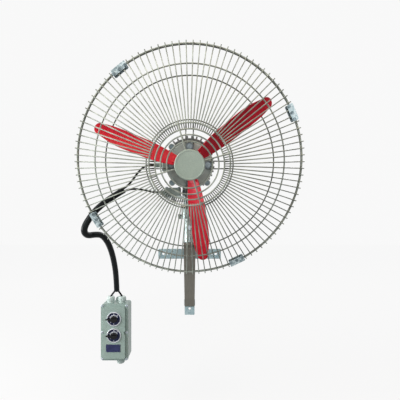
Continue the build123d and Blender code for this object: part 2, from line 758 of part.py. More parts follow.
def rear_screw_set():
    screw = dome_screw(3.6, 2.4, 4, REAR_COVER + 6, seat=-REAR_BACK + REAR_COVER)
    return [Rot(180, 0, 0) * Pos(*polar(REAR_SCREW_RADIUS, -a), 0) * screw for a in REAR_SCREW_ANGLES]


def shield_bolts():
    seat = MOTOR_FRONT - 2
    end = BODY_BACK - SHIELD
    length = seat - end + 9
    tie = bolt(13, 5, 8, length, seat=seat) + rod(3.9, end - 9, end)
    nuts = nut(13, 6, 8, end - 6)
    at = [polar(LUG_CENTRE, a) for a in LUG_ANGLES]
    return [Pos(x, y, 0) * tie for x, y in at] + [Pos(x, y, 0) * nuts for x, y in at]


def bearings():
    front = tube(BEARING_OUTER / 2, SHAFT / 2 + TOUCH, SHIELD_BACK, MOTOR_FRONT)
    rear = tube(BEARING_OUTER / 2, SHAFT / 2 + TOUCH, BODY_BACK - SHIELD, BODY_BACK)
    return [front, rear]


STACK_FRONT = SHIELD_BACK - 28
STACK_BACK = BODY_BACK + 25


def stator_core():
    return tube(MOTOR_BORE / 2 - TOUCH, STATOR_BORE / 2, STACK_BACK, STACK_FRONT)


def windings():
    return [tube(55, 43, STACK_FRONT, STACK_FRONT + 13), tube(55, 43, STACK_BACK - 13, STACK_BACK)]


def rotor_core():
    return tube(ROTOR_CORE / 2, SHAFT / 2 + TOUCH, STACK_BACK + 2, STACK_FRONT - 2)


HUB_BACK = ROTOR_D - HUB_LENGTH / 2
HUB_FRONT = ROTOR_D + HUB_LENGTH / 2
SHAFT_END = HUB_FRONT + 16


def motor_shaft():
    return rod(SHAFT / 2, BODY_BACK - SHIELD + 1, HUB_FRONT) + rod(8, HUB_FRONT - 1, SHAFT_END)


# ---------------------------------------------------------------- rotor (head frame)
BLADE_ANGLES = [BLADE_START + i * 360 / BLADES for i in range(BLADES)]
TANG_ANGLE = (BLADE_SECTIONS[0][1] + BLADE_SECTIONS[0][2]) / 2
ROOT_PITCH = BLADE_SECTIONS[0][3]
BLADE_SCREW_RADIUS = 35.0
BLADE_SCREW_HEAD = 4.0


def blade_section(radius, clockwise, anticlockwise, pitch):
    """Cambered sheet section at one radius: Y is around the axis, Z along it."""
    y1, y2 = radius * tan(radians(clockwise)), radius * tan(radians(anticlockwise))
    half, middle = (y2 - y1) / 2, (y1 + y2) / 2
    rise = half * tan(radians(pitch))
    chord = 2 * hypot(half, rise)
    camber = chord * 0.05
    ny, nz = -sin(radians(pitch)), cos(radians(pitch))
    sheet = BLADE_SHEET / 2

    def at(along, off):
        return (radius, middle + along * half + ny * off, ROTOR_D + along * rise + nz * off)

    front = ThreePointArc(at(-1, sheet), at(0, sheet - camber), at(1, sheet))
    back = ThreePointArc(at(1, -sheet), at(0, -sheet - camber), at(-1, -sheet))
    ends = [Line(at(1, sheet), at(1, -sheet)), Line(at(-1, -sheet), at(-1, sheet))]
    return make_face(Wire([front, ends[0], back, ends[1]]))


def tang(grow, inner, outer):
    plate = block(inner, outer, -TANG_WIDTH / 2 - grow, TANG_WIDTH / 2 + grow,
                  -TANG_THICKNESS / 2 - grow, TANG_THICKNESS / 2 + grow)
    return Rot(0, 0, TANG_ANGLE) * Pos(0, 0, ROTOR_D) * (Rot(ROOT_PITCH, 0, 0) * plate)


def tang_screw_hole():
    x, y = polar(BLADE_SCREW_RADIUS, TANG_ANGLE)
    return rod(3 + FIT, HUB_BACK + 8, HUB_FRONT + 1, x, y)


def blade():
    sheet = loft([blade_section(*section) for section in BLADE_SECTIONS], ruled=False)
    centre = SWEEP / 2 - BLADE_TIP
    tip_y = centre * tan(radians((BLADE_SECTIONS[-2][1] + BLADE_SECTIONS[-2][2]) / 2))
    outside = block(centre, SWEEP, tip_y - 60, tip_y + 60, ROTOR_D - 40, ROTOR_D + 40)
    outside -= rod(BLADE_TIP, ROTOR_D - 41, ROTOR_D + 41, centre, tip_y)
    sheet -= outside
    return sheet + tang(0, TANG_INNER, TANG_OUTER) - tang_screw_hole()


def hub():
    body = rod(HUB / 2, HUB_BACK, HUB_FRONT)
    body = fillet(body.edges().group_by(Axis.Z)[-1], 3)
    body = fillet(body.edges().group_by(Axis.Z)[0], 3)
    body -= rod(SHAFT / 2 + TOUCH, HUB_BACK - 1, HUB_FRONT + 1)
    for a in BLADE_ANGLES:
        body -= Rot(0, 0, a) * tang(FIT, TANG_INNER - FIT, HUB)
        body -= Rot(0, 0, a) * tang_screw_hole()
    return body


def blade_screws():
    x, y = polar(BLADE_SCREW_RADIUS, TANG_ANGLE)
    screw = dome_screw(4.4, BLADE_SCREW_HEAD, 6, HUB_FRONT - HUB_BACK - 9, x, y, seat=HUB_FRONT)
    return around(screw, BLADE_ANGLES)


def hub_nut():
    return nut(24, 11, 16 + 2 * TOUCH, HUB_FRONT)


# ---------------------------------------------------------------- cage (head frame)
def bend_radii(points):
    """As large as the two runs at each corner allow, for a path of straight runs."""
    radii = []
    for before, here, after in zip(points, points[1:], points[2:]):
        a, b = Vector(*here) - Vector(*before), Vector(*after) - Vector(*here)
        turn = radians(a.get_angle(b))
        radii.append(RUN_SHARE * min(a.length, b.length) / tan(turn / 2))
    return radii


def bent_rod(points, diameter, bore=0.0):
    path = FilletPolyline(*points, radius=bend_radii(points))
    start = Plane(origin=path @ 0, z_dir=path % 0)
    section = Circle(diameter / 2)
    if bore:
        section -= Circle(bore / 2)
    return sweep(start * section, path=path)


FRONT_RIM_D = 4.0
SHOULDER_RADIUS = RIM_RADIUS - 23
FRONT_WIRE = (
    (FRONT_TIP_RADIUS, 0, FRONT_TIP_D), (RIM_RADIUS - 101, 0, 80),
    (SHOULDER_RADIUS, 0, FRONT_RIM_D), (WIRE_END, 0, FRONT_RIM_D),
)
FRONT_RIM_RING_D = FRONT_RIM_D - (WIRE + RIM_RING) / 2 - TOUCH
BACK_RIM_RING_D = FRONT_RIM_RING_D - RIM_RING - GAP
BACK_RIM_D = BACK_RIM_RING_D - (WIRE + RIM_RING) / 2 - TOUCH
BACK_WIRE = (
    (BACK_TIP_RADIUS, 0, BACK_TIP_D), (RIM_RADIUS - 91, 0, -46),
    (SHOULDER_RADIUS, 0, BACK_RIM_D), (WIRE_END, 0, BACK_RIM_D),
)


def ring_beside(points, radius, side):
    """Ring centre (radius, d) that just touches a bent wire where it reaches the given radius."""
    path = FilletPolyline(*points, radius=bend_radii(points))
    low, high = 0.0, 1.0
    for _ in range(30):
        middle = (low + high) / 2
        if (path @ middle).X < radius:
            low = middle
        else:
            high = middle
    here, along = path @ low, path % low
    off = side * ((WIRE + RING) / 2 + TOUCH)
    return here.X - along.Z * off, here.Z + along.X * off


def wire_set(points):
    wire = bent_rod(points, WIRE)
    return around(wire, [(i + 0.5) * 360 / WIRES for i in range(WIRES)])


def front_rings():
    centre_d = SPOKE_D - RING - TOUCH
    rings = [hoop(RIM_RADIUS, FRONT_RIM_RING_D, RIM_RING)]
    radius, d = ring_beside(FRONT_WIRE, FRONT_RING_RADIUS, -1)
    rings.append(hoop(radius, d, RING))
    rings += [hoop(r, centre_d, RING) for r in CENTRE_RINGS]
    spoke = Rot(0, 90, 0) * rod(RING / 2, 14, CENTRE_RINGS[-1] + 4)
    spoke = Pos(0, 0, SPOKE_D) * spoke
    return rings + around(spoke, SPOKE_ANGLES)


def back_rings():
    rings = [hoop(RIM_RADIUS, BACK_RIM_RING_D, RIM_RING)]
    radius, d = ring_beside(BACK_WIRE, BACK_RING_RADIUS, 1)
    rings.append(hoop(radius, d, RING))
    radius, d = ring_beside(BACK_WIRE, BACK_INNER_RING, -1)
    rings.append(hoop(radius, d, RING))
    return rings


LOOP_HALF = 12.0
LOOP_FACE_D = MOTOR_FRONT + RING / 2 + TOUCH
INNER_RING_D = ring_beside(BACK_WIRE, BACK_INNER_RING, -1)[1]
LOOP_RING_D = INNER_RING_D - RING - TOUCH
LOOP_WASHER = 1.5


def guard_loops():
    """Hairpin wire loops: round a bolt on the motor's face, both legs out behind the inner ring."""
    def leg(side):
        y = side * LOOP_HALF
        points = (
            (BACK_INNER_RING + 2.5, y, LOOP_RING_D), (104, y, LOOP_RING_D),
            (84, y, LOOP_FACE_D), (FACE_BOLT_RADIUS, y, LOOP_FACE_D),
        )
        return FilletPolyline(*points, radius=[8.0, 8.0])

    bend = ThreePointArc(
        (FACE_BOLT_RADIUS, LOOP_HALF, LOOP_FACE_D),
        (FACE_BOLT_RADIUS - LOOP_HALF, 0, LOOP_FACE_D),
        (FACE_BOLT_RADIUS, -LOOP_HALF, LOOP_FACE_D),
    )
    path = Wire(leg(1).edges() + [bend] + leg(-1).edges())
    start = Plane(origin=path @ 0, z_dir=path % 0)
    loop = sweep(start * Circle(RING / 2), path=path)
    return around(loop, FACE_ANGLES)


LOOP_TOP = LOOP_FACE_D + RING / 2 + TOUCH


def loop_washers():
    washer_disc = tube(LOOP_HALF + 0.5, 3 + FIT, LOOP_TOP, LOOP_TOP + LOOP_WASHER)
    return around(Pos(FACE_BOLT_RADIUS, 0, 0) * washer_disc, FACE_ANGLES)


def face_bolts():
    seat = LOOP_TOP + LOOP_WASHER
    return around(bolt(10, 4, 6, seat - MOTOR_FRONT + 9, FACE_BOLT_RADIUS, 0, seat=seat), FACE_ANGLES)


def saddle_bolts():
    screw = bolt(10, 4, 6, SADDLE_SCREW_LENGTH, seat=-PAD_BOTTOM)
    return [Pos(x, 0, d) * (Rot(90, 0, 0) * screw) for x, d in SADDLE_SCREWS]


CAP_BACK = SPOKE_D + RING / 2 + TOUCH
CLAMP_FRONT = SPOKE_D - RING / 2 - TOUCH
CAP_SCREW_RADIUS = 20.0
CAP_SCREW_ANGLES = (61, 241)


def centre_cap():
    disc = rod(CAP / 2, CAP_BACK, CAP_BACK + CAP_THICKNESS)
    disc = fillet(disc.edges().group_by(Axis.Z)[-1], 2.5)
    disc -= rod(CAP / 2 - 5, CAP_BACK + CAP_THICKNESS - 0.8, CAP_BACK + CAP_THICKNESS + 1)
    for a in CAP_SCREW_ANGLES:
        disc -= rod(2 + FIT, CAP_BACK - 1, CAP_BACK + 5, *polar(CAP_SCREW_RADIUS, a))
    return disc


def cap_clamp():
    plate = rod(34, CLAMP_FRONT - 3, CLAMP_FRONT)
    for a in CAP_SCREW_ANGLES:
        plate -= rod(2 + FIT, CLAMP_FRONT - 5, CLAMP_FRONT + 1, *polar(CAP_SCREW_RADIUS, a))
    return plate


def cap_screw_set():
    screw = dome_screw(3.6, 2.4, 4, 11, seat=-CLAMP_FRONT + 3)
    return [Rot(180, 0, 0) * Pos(*polar(CAP_SCREW_RADIUS, -a), 0) * screw for a in CAP_SCREW_ANGLES]


CLIP_FRONT_D = FRONT_RIM_D + WIRE / 2 + 0.1
CLIP_BACK_D = BACK_RIM_D - WIRE / 2 - 0.1
CLIP_BOLT_ANGLES = (-360 / WIRES, 0, 360 / WIRES)


def clip_plate(low):
    plate = block(CLIP_INNER, WIRE_END, -CLIP_LENGTH / 2, CLIP_LENGTH / 2, low, low + CLIP_SHEET)
    plate = fillet(plate.edges().filter_by(Axis.Z), 3)
    for a in CLIP_BOLT_ANGLES:
        plate -= rod(CLIP_BOLT / 2 + FIT, low - 1, low + CLIP_SHEET + 1, *polar(CLIP_BOLT_RADIUS, a))
    return plate


def clips():
    front, back = clip_plate(CLIP_FRONT_D), clip_plate(CLIP_BACK_D - CLIP_SHEET)
    return around(front, CLIP_ANGLES) + around(back, CLIP_ANGLES)


def clip_bolts():
    seat = CLIP_FRONT_D + CLIP_SHEET
    back = CLIP_BACK_D - CLIP_SHEET
    items = []
    for a in CLIP_BOLT_ANGLES:
        x, y = polar(CLIP_BOLT_RADIUS, a)
        items += around(bolt(8, 3.5, CLIP_BOLT, seat - back + 5, x, y, seat), CLIP_ANGLES)
        items += around(nut(8, 4, CLIP_BOLT, back - 4, x, y), CLIP_ANGLES)
    return items


nodes["tilt_saddle"] = in_head(saddle())
nodes["tilt_bolt"] = in_head(tilt_bolt())
nodes["motor_body"] = in_head(motor_body())
nodes["motor_front_shield"] = in_head(front_shield())
nodes["motor_rear_shield"] = in_head(rear_shield())
nodes["motor_rear_cover"] = in_head(rear_cover())
nodes["shield_bolts"] = in_head(group(shield_bolts()))
nodes["shaft_bearings"] = in_head(group(bearings()))
nodes["stator"] = in_head(group(stator_core(), windings()))
nodes["terminal_cover"] = in_head(terminal_cover())
nodes["small_screws"] = in_head(group(terminal_screw_set(), rear_screw_set(), cap_screw_set()))
nodes["motor_cable_gland"] = in_head(motor_gland())
nodes["motor_rotor"] = in_head(group(motor_shaft(), rotor_core()))
nodes["blade_hub"] = in_head(hub())
nodes["fan_blades"] = in_head(group(around(blade(), BLADE_ANGLES)))
nodes["hub_fasteners"] = in_head(group(blade_screws(), hub_nut()))
nodes["front_guard_wires"] = in_head(group(wire_set(FRONT_WIRE)))
nodes["front_guard_rings"] = in_head(group(front_rings()))
nodes["back_guard_wires"] = in_head(group(wire_set(BACK_WIRE)))
nodes["back_guard_rings"] = in_head(group(back_rings()))
nodes["guard_loops"] = in_head(group(guard_loops()))
nodes["hex_bolts"] = in_head(group(face_bolts(), loop_washers(), saddle_bolts()))
nodes["centre_cap"] = in_head(centre_cap())
nodes["cap_clamp"] = in_head(cap_clamp())
nodes["guard_clips"] = in_head(group(clips()))
nodes["clip_bolts"] = in_head(group(clip_bolts()))


# ---------------------------------------------------------------- cables
SLEEVE_ROUTE = (
    (-221, -212, 238), (-255, -224, 215), (-287, -234, 189), (-311, -241, 164), (-329, -246, 137),
    (-340, -248, 116), (-345, -240, 97), (-339, -222, 85), (-322, -198, 88), (-305, -174, 85),
    (-293, -150, 61), (-286, -122, 24), (-283, -92, -23), (-283, -62, -81), (-286, -42, -140),
)
MOTOR_CABLE_ROUTE = (
    (-118, -183.0, 327.4), (-151, -183.0, 327.4), (-176, -189.5, 303), (-194, -200, 272),
    (-214, -209.6, 247.3), (-234.9, -216.9, 233.3),
)
SWING_CABLE_ROUTE = (
    (-96, -178, 232), (-119, -178, 232), (-146, -182, 239), (-173, -190, 243), (-196, -199, 243),
    (-214.2, -209.6, 237.8), (-230.9, -215.5, 226.5),
)
LEAD_ROUTES = (
    ((-289.4, -45.9, -128.7), (-290.1, -41, -143), (-312, -32, -155.5), (-312, -32, -168)),
    ((-281.4, -45.9, -128.7), (-282.1, -41, -143), (-267, -32, -155.5), (-267, -32, -168)),
)


def report_cord(name, points, diameter, bore, solid):
    path = FilletPolyline(*points, radius=bend_radii(points))
    section = pi * (diameter ** 2 - bore ** 2) / 4
    radii = ", ".join(f"{r:.0f}" for r in bend_radii(points))
    ratio = solid.volume / (section * path.length)
    print(f"{name}: length {path.length:.1f}, radii {radii}, volume ratio {ratio:.4f}")


def cable(name, points, diameter=CABLE, bore=0.0):
    solid = bent_rod(points, diameter, bore)
    report_cord(name, points, diameter, bore, solid)
    return solid


nodes["cable_sleeve"] = cable("cable_sleeve", SLEEVE_ROUTE, SLEEVE, SLEEVE_BORE)
nodes["motor_cable"] = cable("motor_cable", MOTOR_CABLE_ROUTE)
nodes["swing_cable"] = cable("swing_cable", SWING_CABLE_ROUTE)
nodes["box_leads"] = group([cable("box_lead", route) for route in LEAD_ROUTES])


# ---------------------------------------------------------------- switch box
# Worked in the plane of the wall: x right, y up, z out of the wall, then turned to face -Y.
def plate(width, height, low, high, corner, x=BOX_X, y=BOX_Z):
    outline = RectangleRounded(width, height, corner)
    return Pos(x, y, low) * extrude(outline, high - low)


BOX_TOP = BOX_Z + BOX_HEIGHT / 2
BOX_BOTTOM = BOX_Z - BOX_HEIGHT / 2
FLANGE_FRONT = BOX_DEPTH + FLANGE
PANEL_FRONT = FLANGE_FRONT + PANEL_RISE
BOX_WALL = 4.0
GASKET = 1.5
LID_BACK = BOX_DEPTH + GASKET
WALL_LUGS = ((BOX_X, BOX_TOP + 6, 0.0), (BOX_X - BOX_WIDTH / 2 + 10, BOX_BOTTOM - 5, 180.0))
SCREWS = [(BOX_X + sx * LID_SCREW_X, BOX_Z + row * LID_SCREW_Z) for sx in (-1, 1) for row in (-1, 0, 1)]


def box_body():
    body = plate(BOX_WIDTH, BOX_HEIGHT, 0, BOX_DEPTH, 8)
    body -= plate(BOX_WIDTH - 2 * BOX_WALL, BOX_HEIGHT - 2 * BOX_WALL, BOX_WALL, BOX_DEPTH + 1, 5)
    for x, y in SCREWS:
        body += rod(6.5, BOX_WALL - 1, BOX_DEPTH, x, y) & plate(BOX_WIDTH, BOX_HEIGHT, 0, BOX_DEPTH, 8)
    for x, y in SCREWS:
        body -= rod(2.5 + FIT, BOX_DEPTH - 14, BOX_DEPTH + 1, x, y)
    for x, y, turn in WALL_LUGS:
        ear = rod(9, 0, 6, x, y) + block(x - 9, x + 9, min(y, BOX_Z), max(y, BOX_Z), 0, 6)
        ear -= plate(BOX_WIDTH - 6, BOX_HEIGHT - 6, -1, 7, 6)
        body += ear
        body -= rod(3, -1, 7, x, y)
    for x in GLAND_X:
        body -= Pos(x, 0, -GLAND_Y) * (Rot(-90, 0, 0) * rod(10 + FIT, BOX_TOP - 8, BOX_TOP + 4))
    body -= Pos(BLANK_X, 0, -GLAND_Y) * (Rot(-90, 0, 0) * rod(10 + FIT, BOX_BOTTOM - 4, BOX_BOTTOM + 8))
    return TO_FRONT * body


def lid_gasket():
    seal = plate(BOX_WIDTH - 2, BOX_HEIGHT - 2, BOX_DEPTH, LID_BACK, 7)
    seal -= plate(BOX_WIDTH - 2 * BOX_WALL, BOX_HEIGHT - 2 * BOX_WALL, BOX_DEPTH - 1, LID_BACK + 1, 5)
    outline = plate(BOX_WIDTH - 2, BOX_HEIGHT - 2, BOX_DEPTH, LID_BACK, 7)
    for x, y in SCREWS:
        seal += rod(6.5, BOX_DEPTH, LID_BACK, x, y) & outline
    for x, y in SCREWS:
        seal -= rod(2.5 + FIT, BOX_DEPTH - 1, LID_BACK + 1, x, y)
    return TO_FRONT * seal


def box_lid():
    lid = plate(FLANGE_WIDTH, FLANGE_HEIGHT, LID_BACK, FLANGE_FRONT, 9)
    panel = Pos(BOX_X, BOX_Z, FLANGE_FRONT - 1) * extrude(
        RectangleRounded(PANEL_WIDTH + 3, PANEL_HEIGHT + 3, 7), PANEL_RISE + 1, taper=8
    )
    for x, y in SCREWS:
        panel -= rod(9.0, FLANGE_FRONT, PANEL_FRONT + 1, x, y)
    lid += panel
    inner_width = PANEL_WIDTH - 2 * LID_WALL - 14
    inner_height = PANEL_HEIGHT - 2 * LID_WALL
    lid -= plate(inner_width, inner_height, LID_BACK - 1, PANEL_FRONT - LID_WALL, 5)
    for x, y in SCREWS:
        lid -= rod(2.5 + FIT, LID_BACK - 1, FLANGE_FRONT + 1, x, y)
    for y in SWITCH_Z:
        lid -= rod(11 + FIT, LID_BACK - 1, PANEL_FRONT + 1, BOX_X, y)
    return TO_FRONT * lid


def lid_screws():
    return TO_FRONT * group([dome_screw(5, 3.4, 5, 18, x, y, seat=FLANGE_FRONT) for x, y in SCREWS])


BEZEL_HEIGHT = 4.0
DIAL_SHEET = 1.0
SWITCH_BODY = 30.0


def bezels():
    rings = []
    for y in SWITCH_Z:
        ring = tube(BEZEL / 2, DIAL / 2 + TOUCH, PANEL_FRONT, PANEL_FRONT + BEZEL_HEIGHT, BOX_X, y)
        rings.append(chamfer(ring.edges().group_by(Axis.Z)[-1], 1.2))
    return TO_FRONT * group(rings)


def face_plates():
    front = PANEL_FRONT + DIAL_SHEET
    dials = [tube(DIAL / 2, 11 + FIT, PANEL_FRONT, front, BOX_X, y) for y in SWITCH_Z]
    blank = plate(
        NAMEPLATE_WIDTH, NAMEPLATE_HEIGHT, PANEL_FRONT, front, 1.5, BOX_X - 3, NAMEPLATE_Z
    )
    return TO_FRONT * group(dials, blank)


def switch_blocks():
    blocks = []
    for y in SWITCH_Z:
        body = rod(11, PANEL_FRONT - 16, PANEL_FRONT + 3, BOX_X, y)
        back = PANEL_FRONT - 16
        body += block(BOX_X - 19, BOX_X + 19, y - 22, y + 22, back - SWITCH_BODY, back)
        blocks.append(body - rod(KNOB_SHAFT / 2 + FIT, PANEL_FRONT - 14, PANEL_FRONT + 4, BOX_X, y))
    return TO_FRONT * group(blocks)


KNOB_LOW = PANEL_FRONT + 3 + GAP
KNOB_HEIGHT = 13.0
POINTER = 30.0


def knob(y):
    """Round knob with a finger bar that ends in a pointer to the left."""
    base = rod(KNOB / 2, KNOB_LOW, KNOB_LOW + 7)
    base = fillet(base.edges().group_by(Axis.Z)[-1], 2)
    grip = block(-KNOB / 2 + 1, KNOB / 2 + 2, -4, 4, KNOB_LOW, KNOB_LOW + KNOB_HEIGHT)
    root = -KNOB / 2 + 2
    nose = make_face(Polyline((root, 4), (-POINTER, 1.2), (-POINTER, -1.2), (root, -4), close=True))
    nose = Pos(0, 0, KNOB_LOW + 1.5) * extrude(nose, 6)
    stem = rod(KNOB_SHAFT / 2, PANEL_FRONT - 13, KNOB_LOW + 1)
    return TO_FRONT * (Pos(BOX_X, y, 0) * (base + grip + nose + stem))


def gland_body():
    """Moulded cable gland along Z: spigot into the box wall, collar, tapered cap nut."""
    neck_part = rod(10, -5, 1) + rod(13.5, 0, 9)
    cap = rod(GLAND_OUTER / 2, 7, GLAND_HEIGHT)
    cap = fillet(cap.edges().group_by(Axis.Z)[-1], 5)
    return neck_part + cap


def box_glands():
    bored = gland_body() - rod(CABLE / 2 + GAP, GLAND_HEIGHT - GLAND_SEAT, GLAND_HEIGHT + 1)
    items = [Pos(x, GLAND_Y, BOX_TOP) * bored for x in GLAND_X]
    items.append(Pos(BLANK_X, GLAND_Y, BOX_BOTTOM) * (Rot(180, 0, 0) * gland_body()))
    return group(items)


nodes["box_body"] = box_body()
nodes["lid_gasket"] = lid_gasket()
nodes["box_lid"] = box_lid()
nodes["lid_screws"] = lid_screws()
nodes["dial_bezels"] = bezels()
nodes["face_plates"] = face_plates()
nodes["switch_blocks"] = switch_blocks()
nodes["fan_switch_knob"] = knob(SWITCH_Z[0])
nodes["swing_switch_knob"] = knob(SWITCH_Z[1])
nodes["box_glands"] = box_glands()

for node, shape in nodes.items():
    export_step(shape, f"parts/{node}.step")
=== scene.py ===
import bpy
import bmesh
import math
from mathutils import Matrix, Vector


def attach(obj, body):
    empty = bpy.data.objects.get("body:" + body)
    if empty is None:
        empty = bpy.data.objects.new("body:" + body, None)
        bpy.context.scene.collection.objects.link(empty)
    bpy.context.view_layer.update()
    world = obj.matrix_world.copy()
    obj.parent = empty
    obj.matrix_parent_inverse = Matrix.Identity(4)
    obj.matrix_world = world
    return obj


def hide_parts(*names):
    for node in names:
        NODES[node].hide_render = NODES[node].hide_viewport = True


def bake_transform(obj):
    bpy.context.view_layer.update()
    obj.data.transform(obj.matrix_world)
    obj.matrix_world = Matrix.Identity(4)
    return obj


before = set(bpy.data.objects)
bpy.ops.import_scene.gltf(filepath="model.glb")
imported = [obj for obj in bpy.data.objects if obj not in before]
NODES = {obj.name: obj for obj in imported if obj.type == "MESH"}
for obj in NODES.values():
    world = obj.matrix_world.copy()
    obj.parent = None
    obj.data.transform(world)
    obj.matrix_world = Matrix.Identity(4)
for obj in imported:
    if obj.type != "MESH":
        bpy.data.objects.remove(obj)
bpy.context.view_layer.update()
scene = bpy.context.scene

# New pieces are given in millimetres, and the camera, the lamps, the floor and the finishes in
# metres. Corners nearer to each other than SAME_PLACE are merged.
MM = 0.001
SAME_PLACE = 0.01 * MM


def in_metres(place):
    """A place or a size that is given in millimetres, in metres."""
    return tuple(c * MM for c in place)


# ---------------------------------------------------------------- camera
# It stands level in front of the fan, and is shifted to frame it without a turn.
EYE = (0.0, -1.220, 0.1386)
LEVEL = (math.radians(90), 0, 0)
FILM_WIDTH, LENS = 36, 27
SHIFT_RIGHT, SHIFT_UP = 0.026, 0.049
NEAREST, FARTHEST = 0.01, 60

camera = bpy.data.objects.new("camera", bpy.data.cameras.new("camera"))
scene.collection.objects.link(camera)
camera.location = EYE
camera.rotation_euler = LEVEL
camera.data.sensor_width = FILM_WIDTH
camera.data.lens = LENS
camera.data.shift_x = SHIFT_RIGHT
camera.data.shift_y = SHIFT_UP
camera.data.clip_start = NEAREST
camera.data.clip_end = FARTHEST
scene.camera = camera


# ---------------------------------------------------------------- shader maths
def add_node(tree, kind, settings, sockets, out=0):
    """A node, with its settings set first, then its sockets' values or links. Gives one output."""
    node = tree.nodes.new(kind)
    for name, value in settings.items():
        setattr(node, name, value)
    for key, value in sockets.items():
        if isinstance(value, Value):
            tree.links.new(value.socket, node.inputs[key])
        else:
            node.inputs[key].default_value = value
    return Value(tree, node.outputs[out])


class Value:
    """An output of a node. Arithmetic on numbers adds Math nodes."""

    def __init__(self, tree, socket):
        self.tree, self.socket = tree, socket

    def math(self, operation, first, second=0.0):
        sockets = {0: first, 1: second}
        return add_node(self.tree, "ShaderNodeMath", {"operation": operation}, sockets)

    def __add__(self, other):
        return self.math("ADD", self, other)

    def __sub__(self, other):
        return self.math("SUBTRACT", self, other)

    def __rsub__(self, other):
        return self.math("SUBTRACT", other, self)

    def __mul__(self, other):
        return self.math("MULTIPLY", self, other)

    __radd__ = __add__
    __rmul__ = __mul__

    def squared(self):
        return self * self

    def absolute(self):
        return self.math("ABSOLUTE", self)

    def above(self, level):
        """1 where the value is greater than the level, 0 elsewhere."""
        return self.math("GREATER_THAN", self, level)

    def least(self, other):
        """The smaller of the two."""
        return self.math("MINIMUM", self, other)

    def ramp(self, low, high, start=0.0, end=1.0):
        """Runs smoothly from start to end as the value goes from low to high."""
        smooth = {"interpolation_type": "SMOOTHSTEP"}
        sockets = {"Value": self, "From Min": low, "From Max": high, "To Min": start, "To Max": end}
        return add_node(self.tree, "ShaderNodeMapRange", smooth, sockets)

    def blend(self, first, second):
        """The first colour where this is 0, the second where it is 1."""
        # The Mix node's sockets go by number, because each data type repeats their names.
        factor, colour_a, colour_b, mixed = 0, 6, 7, 2
        sockets = {factor: self}
        for slot, colour in ((colour_a, first), (colour_b, second)):
            sockets[slot] = (*colour, 1.0) if isinstance(colour, tuple) else colour
        return add_node(self.tree, "ShaderNodeMix", {"data_type": "RGBA"}, sockets, mixed)


class Look:
    """One procedural finish in Object coordinates, which are metres in the fan's own frame."""

    def __init__(self, name, **fixed):
        """fixed sets the shader's own sockets: coat_weight=0.1 is its Coat Weight."""
        self.material = bpy.data.materials.new(name)
        self.material.use_nodes = True
        self.tree = self.material.node_tree
        self.shader = self.tree.nodes["Principled BSDF"]
        self.point = self.add("ShaderNodeTexCoord", {}, {}, "Object")
        for key, value in fixed.items():
            socket = key.replace("_", " ").title().replace("Ior", "IOR")
            self.shader.inputs[socket].default_value = value

    def add(self, kind, settings, sockets, out=0):
        return add_node(self.tree, kind, settings, sockets, out)

    def feed(self, name, value):
        """Links a value to one of the shader's sockets."""
        self.tree.links.new(value.socket, self.shader.inputs[name])

    def noise(self, scale, detail=3.0, rough=0.5, point=None, distortion=0.0):
        """Cloudy noise from 0 to 1. A larger scale makes smaller clouds."""
        sockets = {"Vector": point or self.point, "Scale": scale, "Detail": detail,
                   "Roughness": rough, "Distortion": distortion}
        return self.add("ShaderNodeTexNoise", {}, sockets, "Fac")

    def stretched(self, x, y, z):
        """The point with each axis multiplied by a factor of its own."""
        return self.add("ShaderNodeMapping", {}, {"Vector": self.point, "Scale": (x, y, z)})

    def part(self, value, axis):
        """One of the three numbers of a vector or a colour: 0, 1 or 2."""
        return self.add("ShaderNodeSeparateXYZ", {}, {0: value}, axis)

    def rounded(self, radius):
        """The normal as it would be with every edge rounded to this radius."""
        return self.add("ShaderNodeBevel", {"samples": 4}, {"Radius": radius})

    def worn_edges(self, radius, low=0.02, high=0.3):
        """1 along sharp edges, from how far a rounded normal turns away from the face's own."""
        normals = {0: self.rounded(radius), 1: self.add("ShaderNodeNewGeometry", {}, {}, "Normal")}
        alike = self.add("ShaderNodeVectorMath", {"operation": "DOT_PRODUCT"}, normals, "Value")
        return (1 - alike).ramp(low, high)

    def bump(self, height, distance, strength=0.5, round_edges=0.0):
        """Feeds the shader's Normal with bumps this distance high. Gives the finished material."""
        sockets = {"Strength": strength, "Distance": distance, "Height": height}
        if round_edges:
            sockets["Normal"] = self.rounded(round_edges)
        self.feed("Normal", self.add("ShaderNodeBump", {}, sockets))
        return self.material


# ---------------------------------------------------------------- finishes
def painted_casting(name, light, dark, roughness, grain=0.00012, edge=(0.5, 0.52, 0.5)):
    """Sprayed paint on a casting: faint clouds, a fine grain of this height, and rubbed edges."""
    look = Look(name, coat_weight=0.15, coat_roughness=0.3)
    speckle = look.noise(900, 2)
    body = look.noise(28, 4, 0.6).ramp(0.32, 0.7).blend(dark, light)
    worn = look.worn_edges(0.0008) * speckle.ramp(0.35, 0.6) * 0.5
    look.feed("Base Color", worn.blend(body, edge))
    look.feed("Roughness", speckle.ramp(0.2, 0.8, roughness - 0.06, roughness + 0.08))
    return look.bump(look.noise(650, 3, 0.6), grain, round_edges=0.0006)


def galvanised(name, light, dark, spangle, roughness, metallic):
    """Hot-dip zinc: crystal spangles mixed with clouds, on a slightly uneven coat."""
    look = Look(name, metallic=metallic)
    cells = look.add("ShaderNodeTexVoronoi", {}, {"Vector": look.point, "Scale": spangle}, "Color")
    flakes = look.part(cells, 0)
    mixed = (flakes * 0.55 + look.noise(18, 4, 0.6) * 0.6).ramp(0.25, 0.95)
    look.feed("Base Color", mixed.blend(dark, light))
    look.feed("Roughness", flakes.ramp(0.0, 1.0, roughness - 0.08, roughness + 0.12))
    return look.bump(look.noise(60, 3, 0.6), 0.0002, 0.35, round_edges=0.0005)


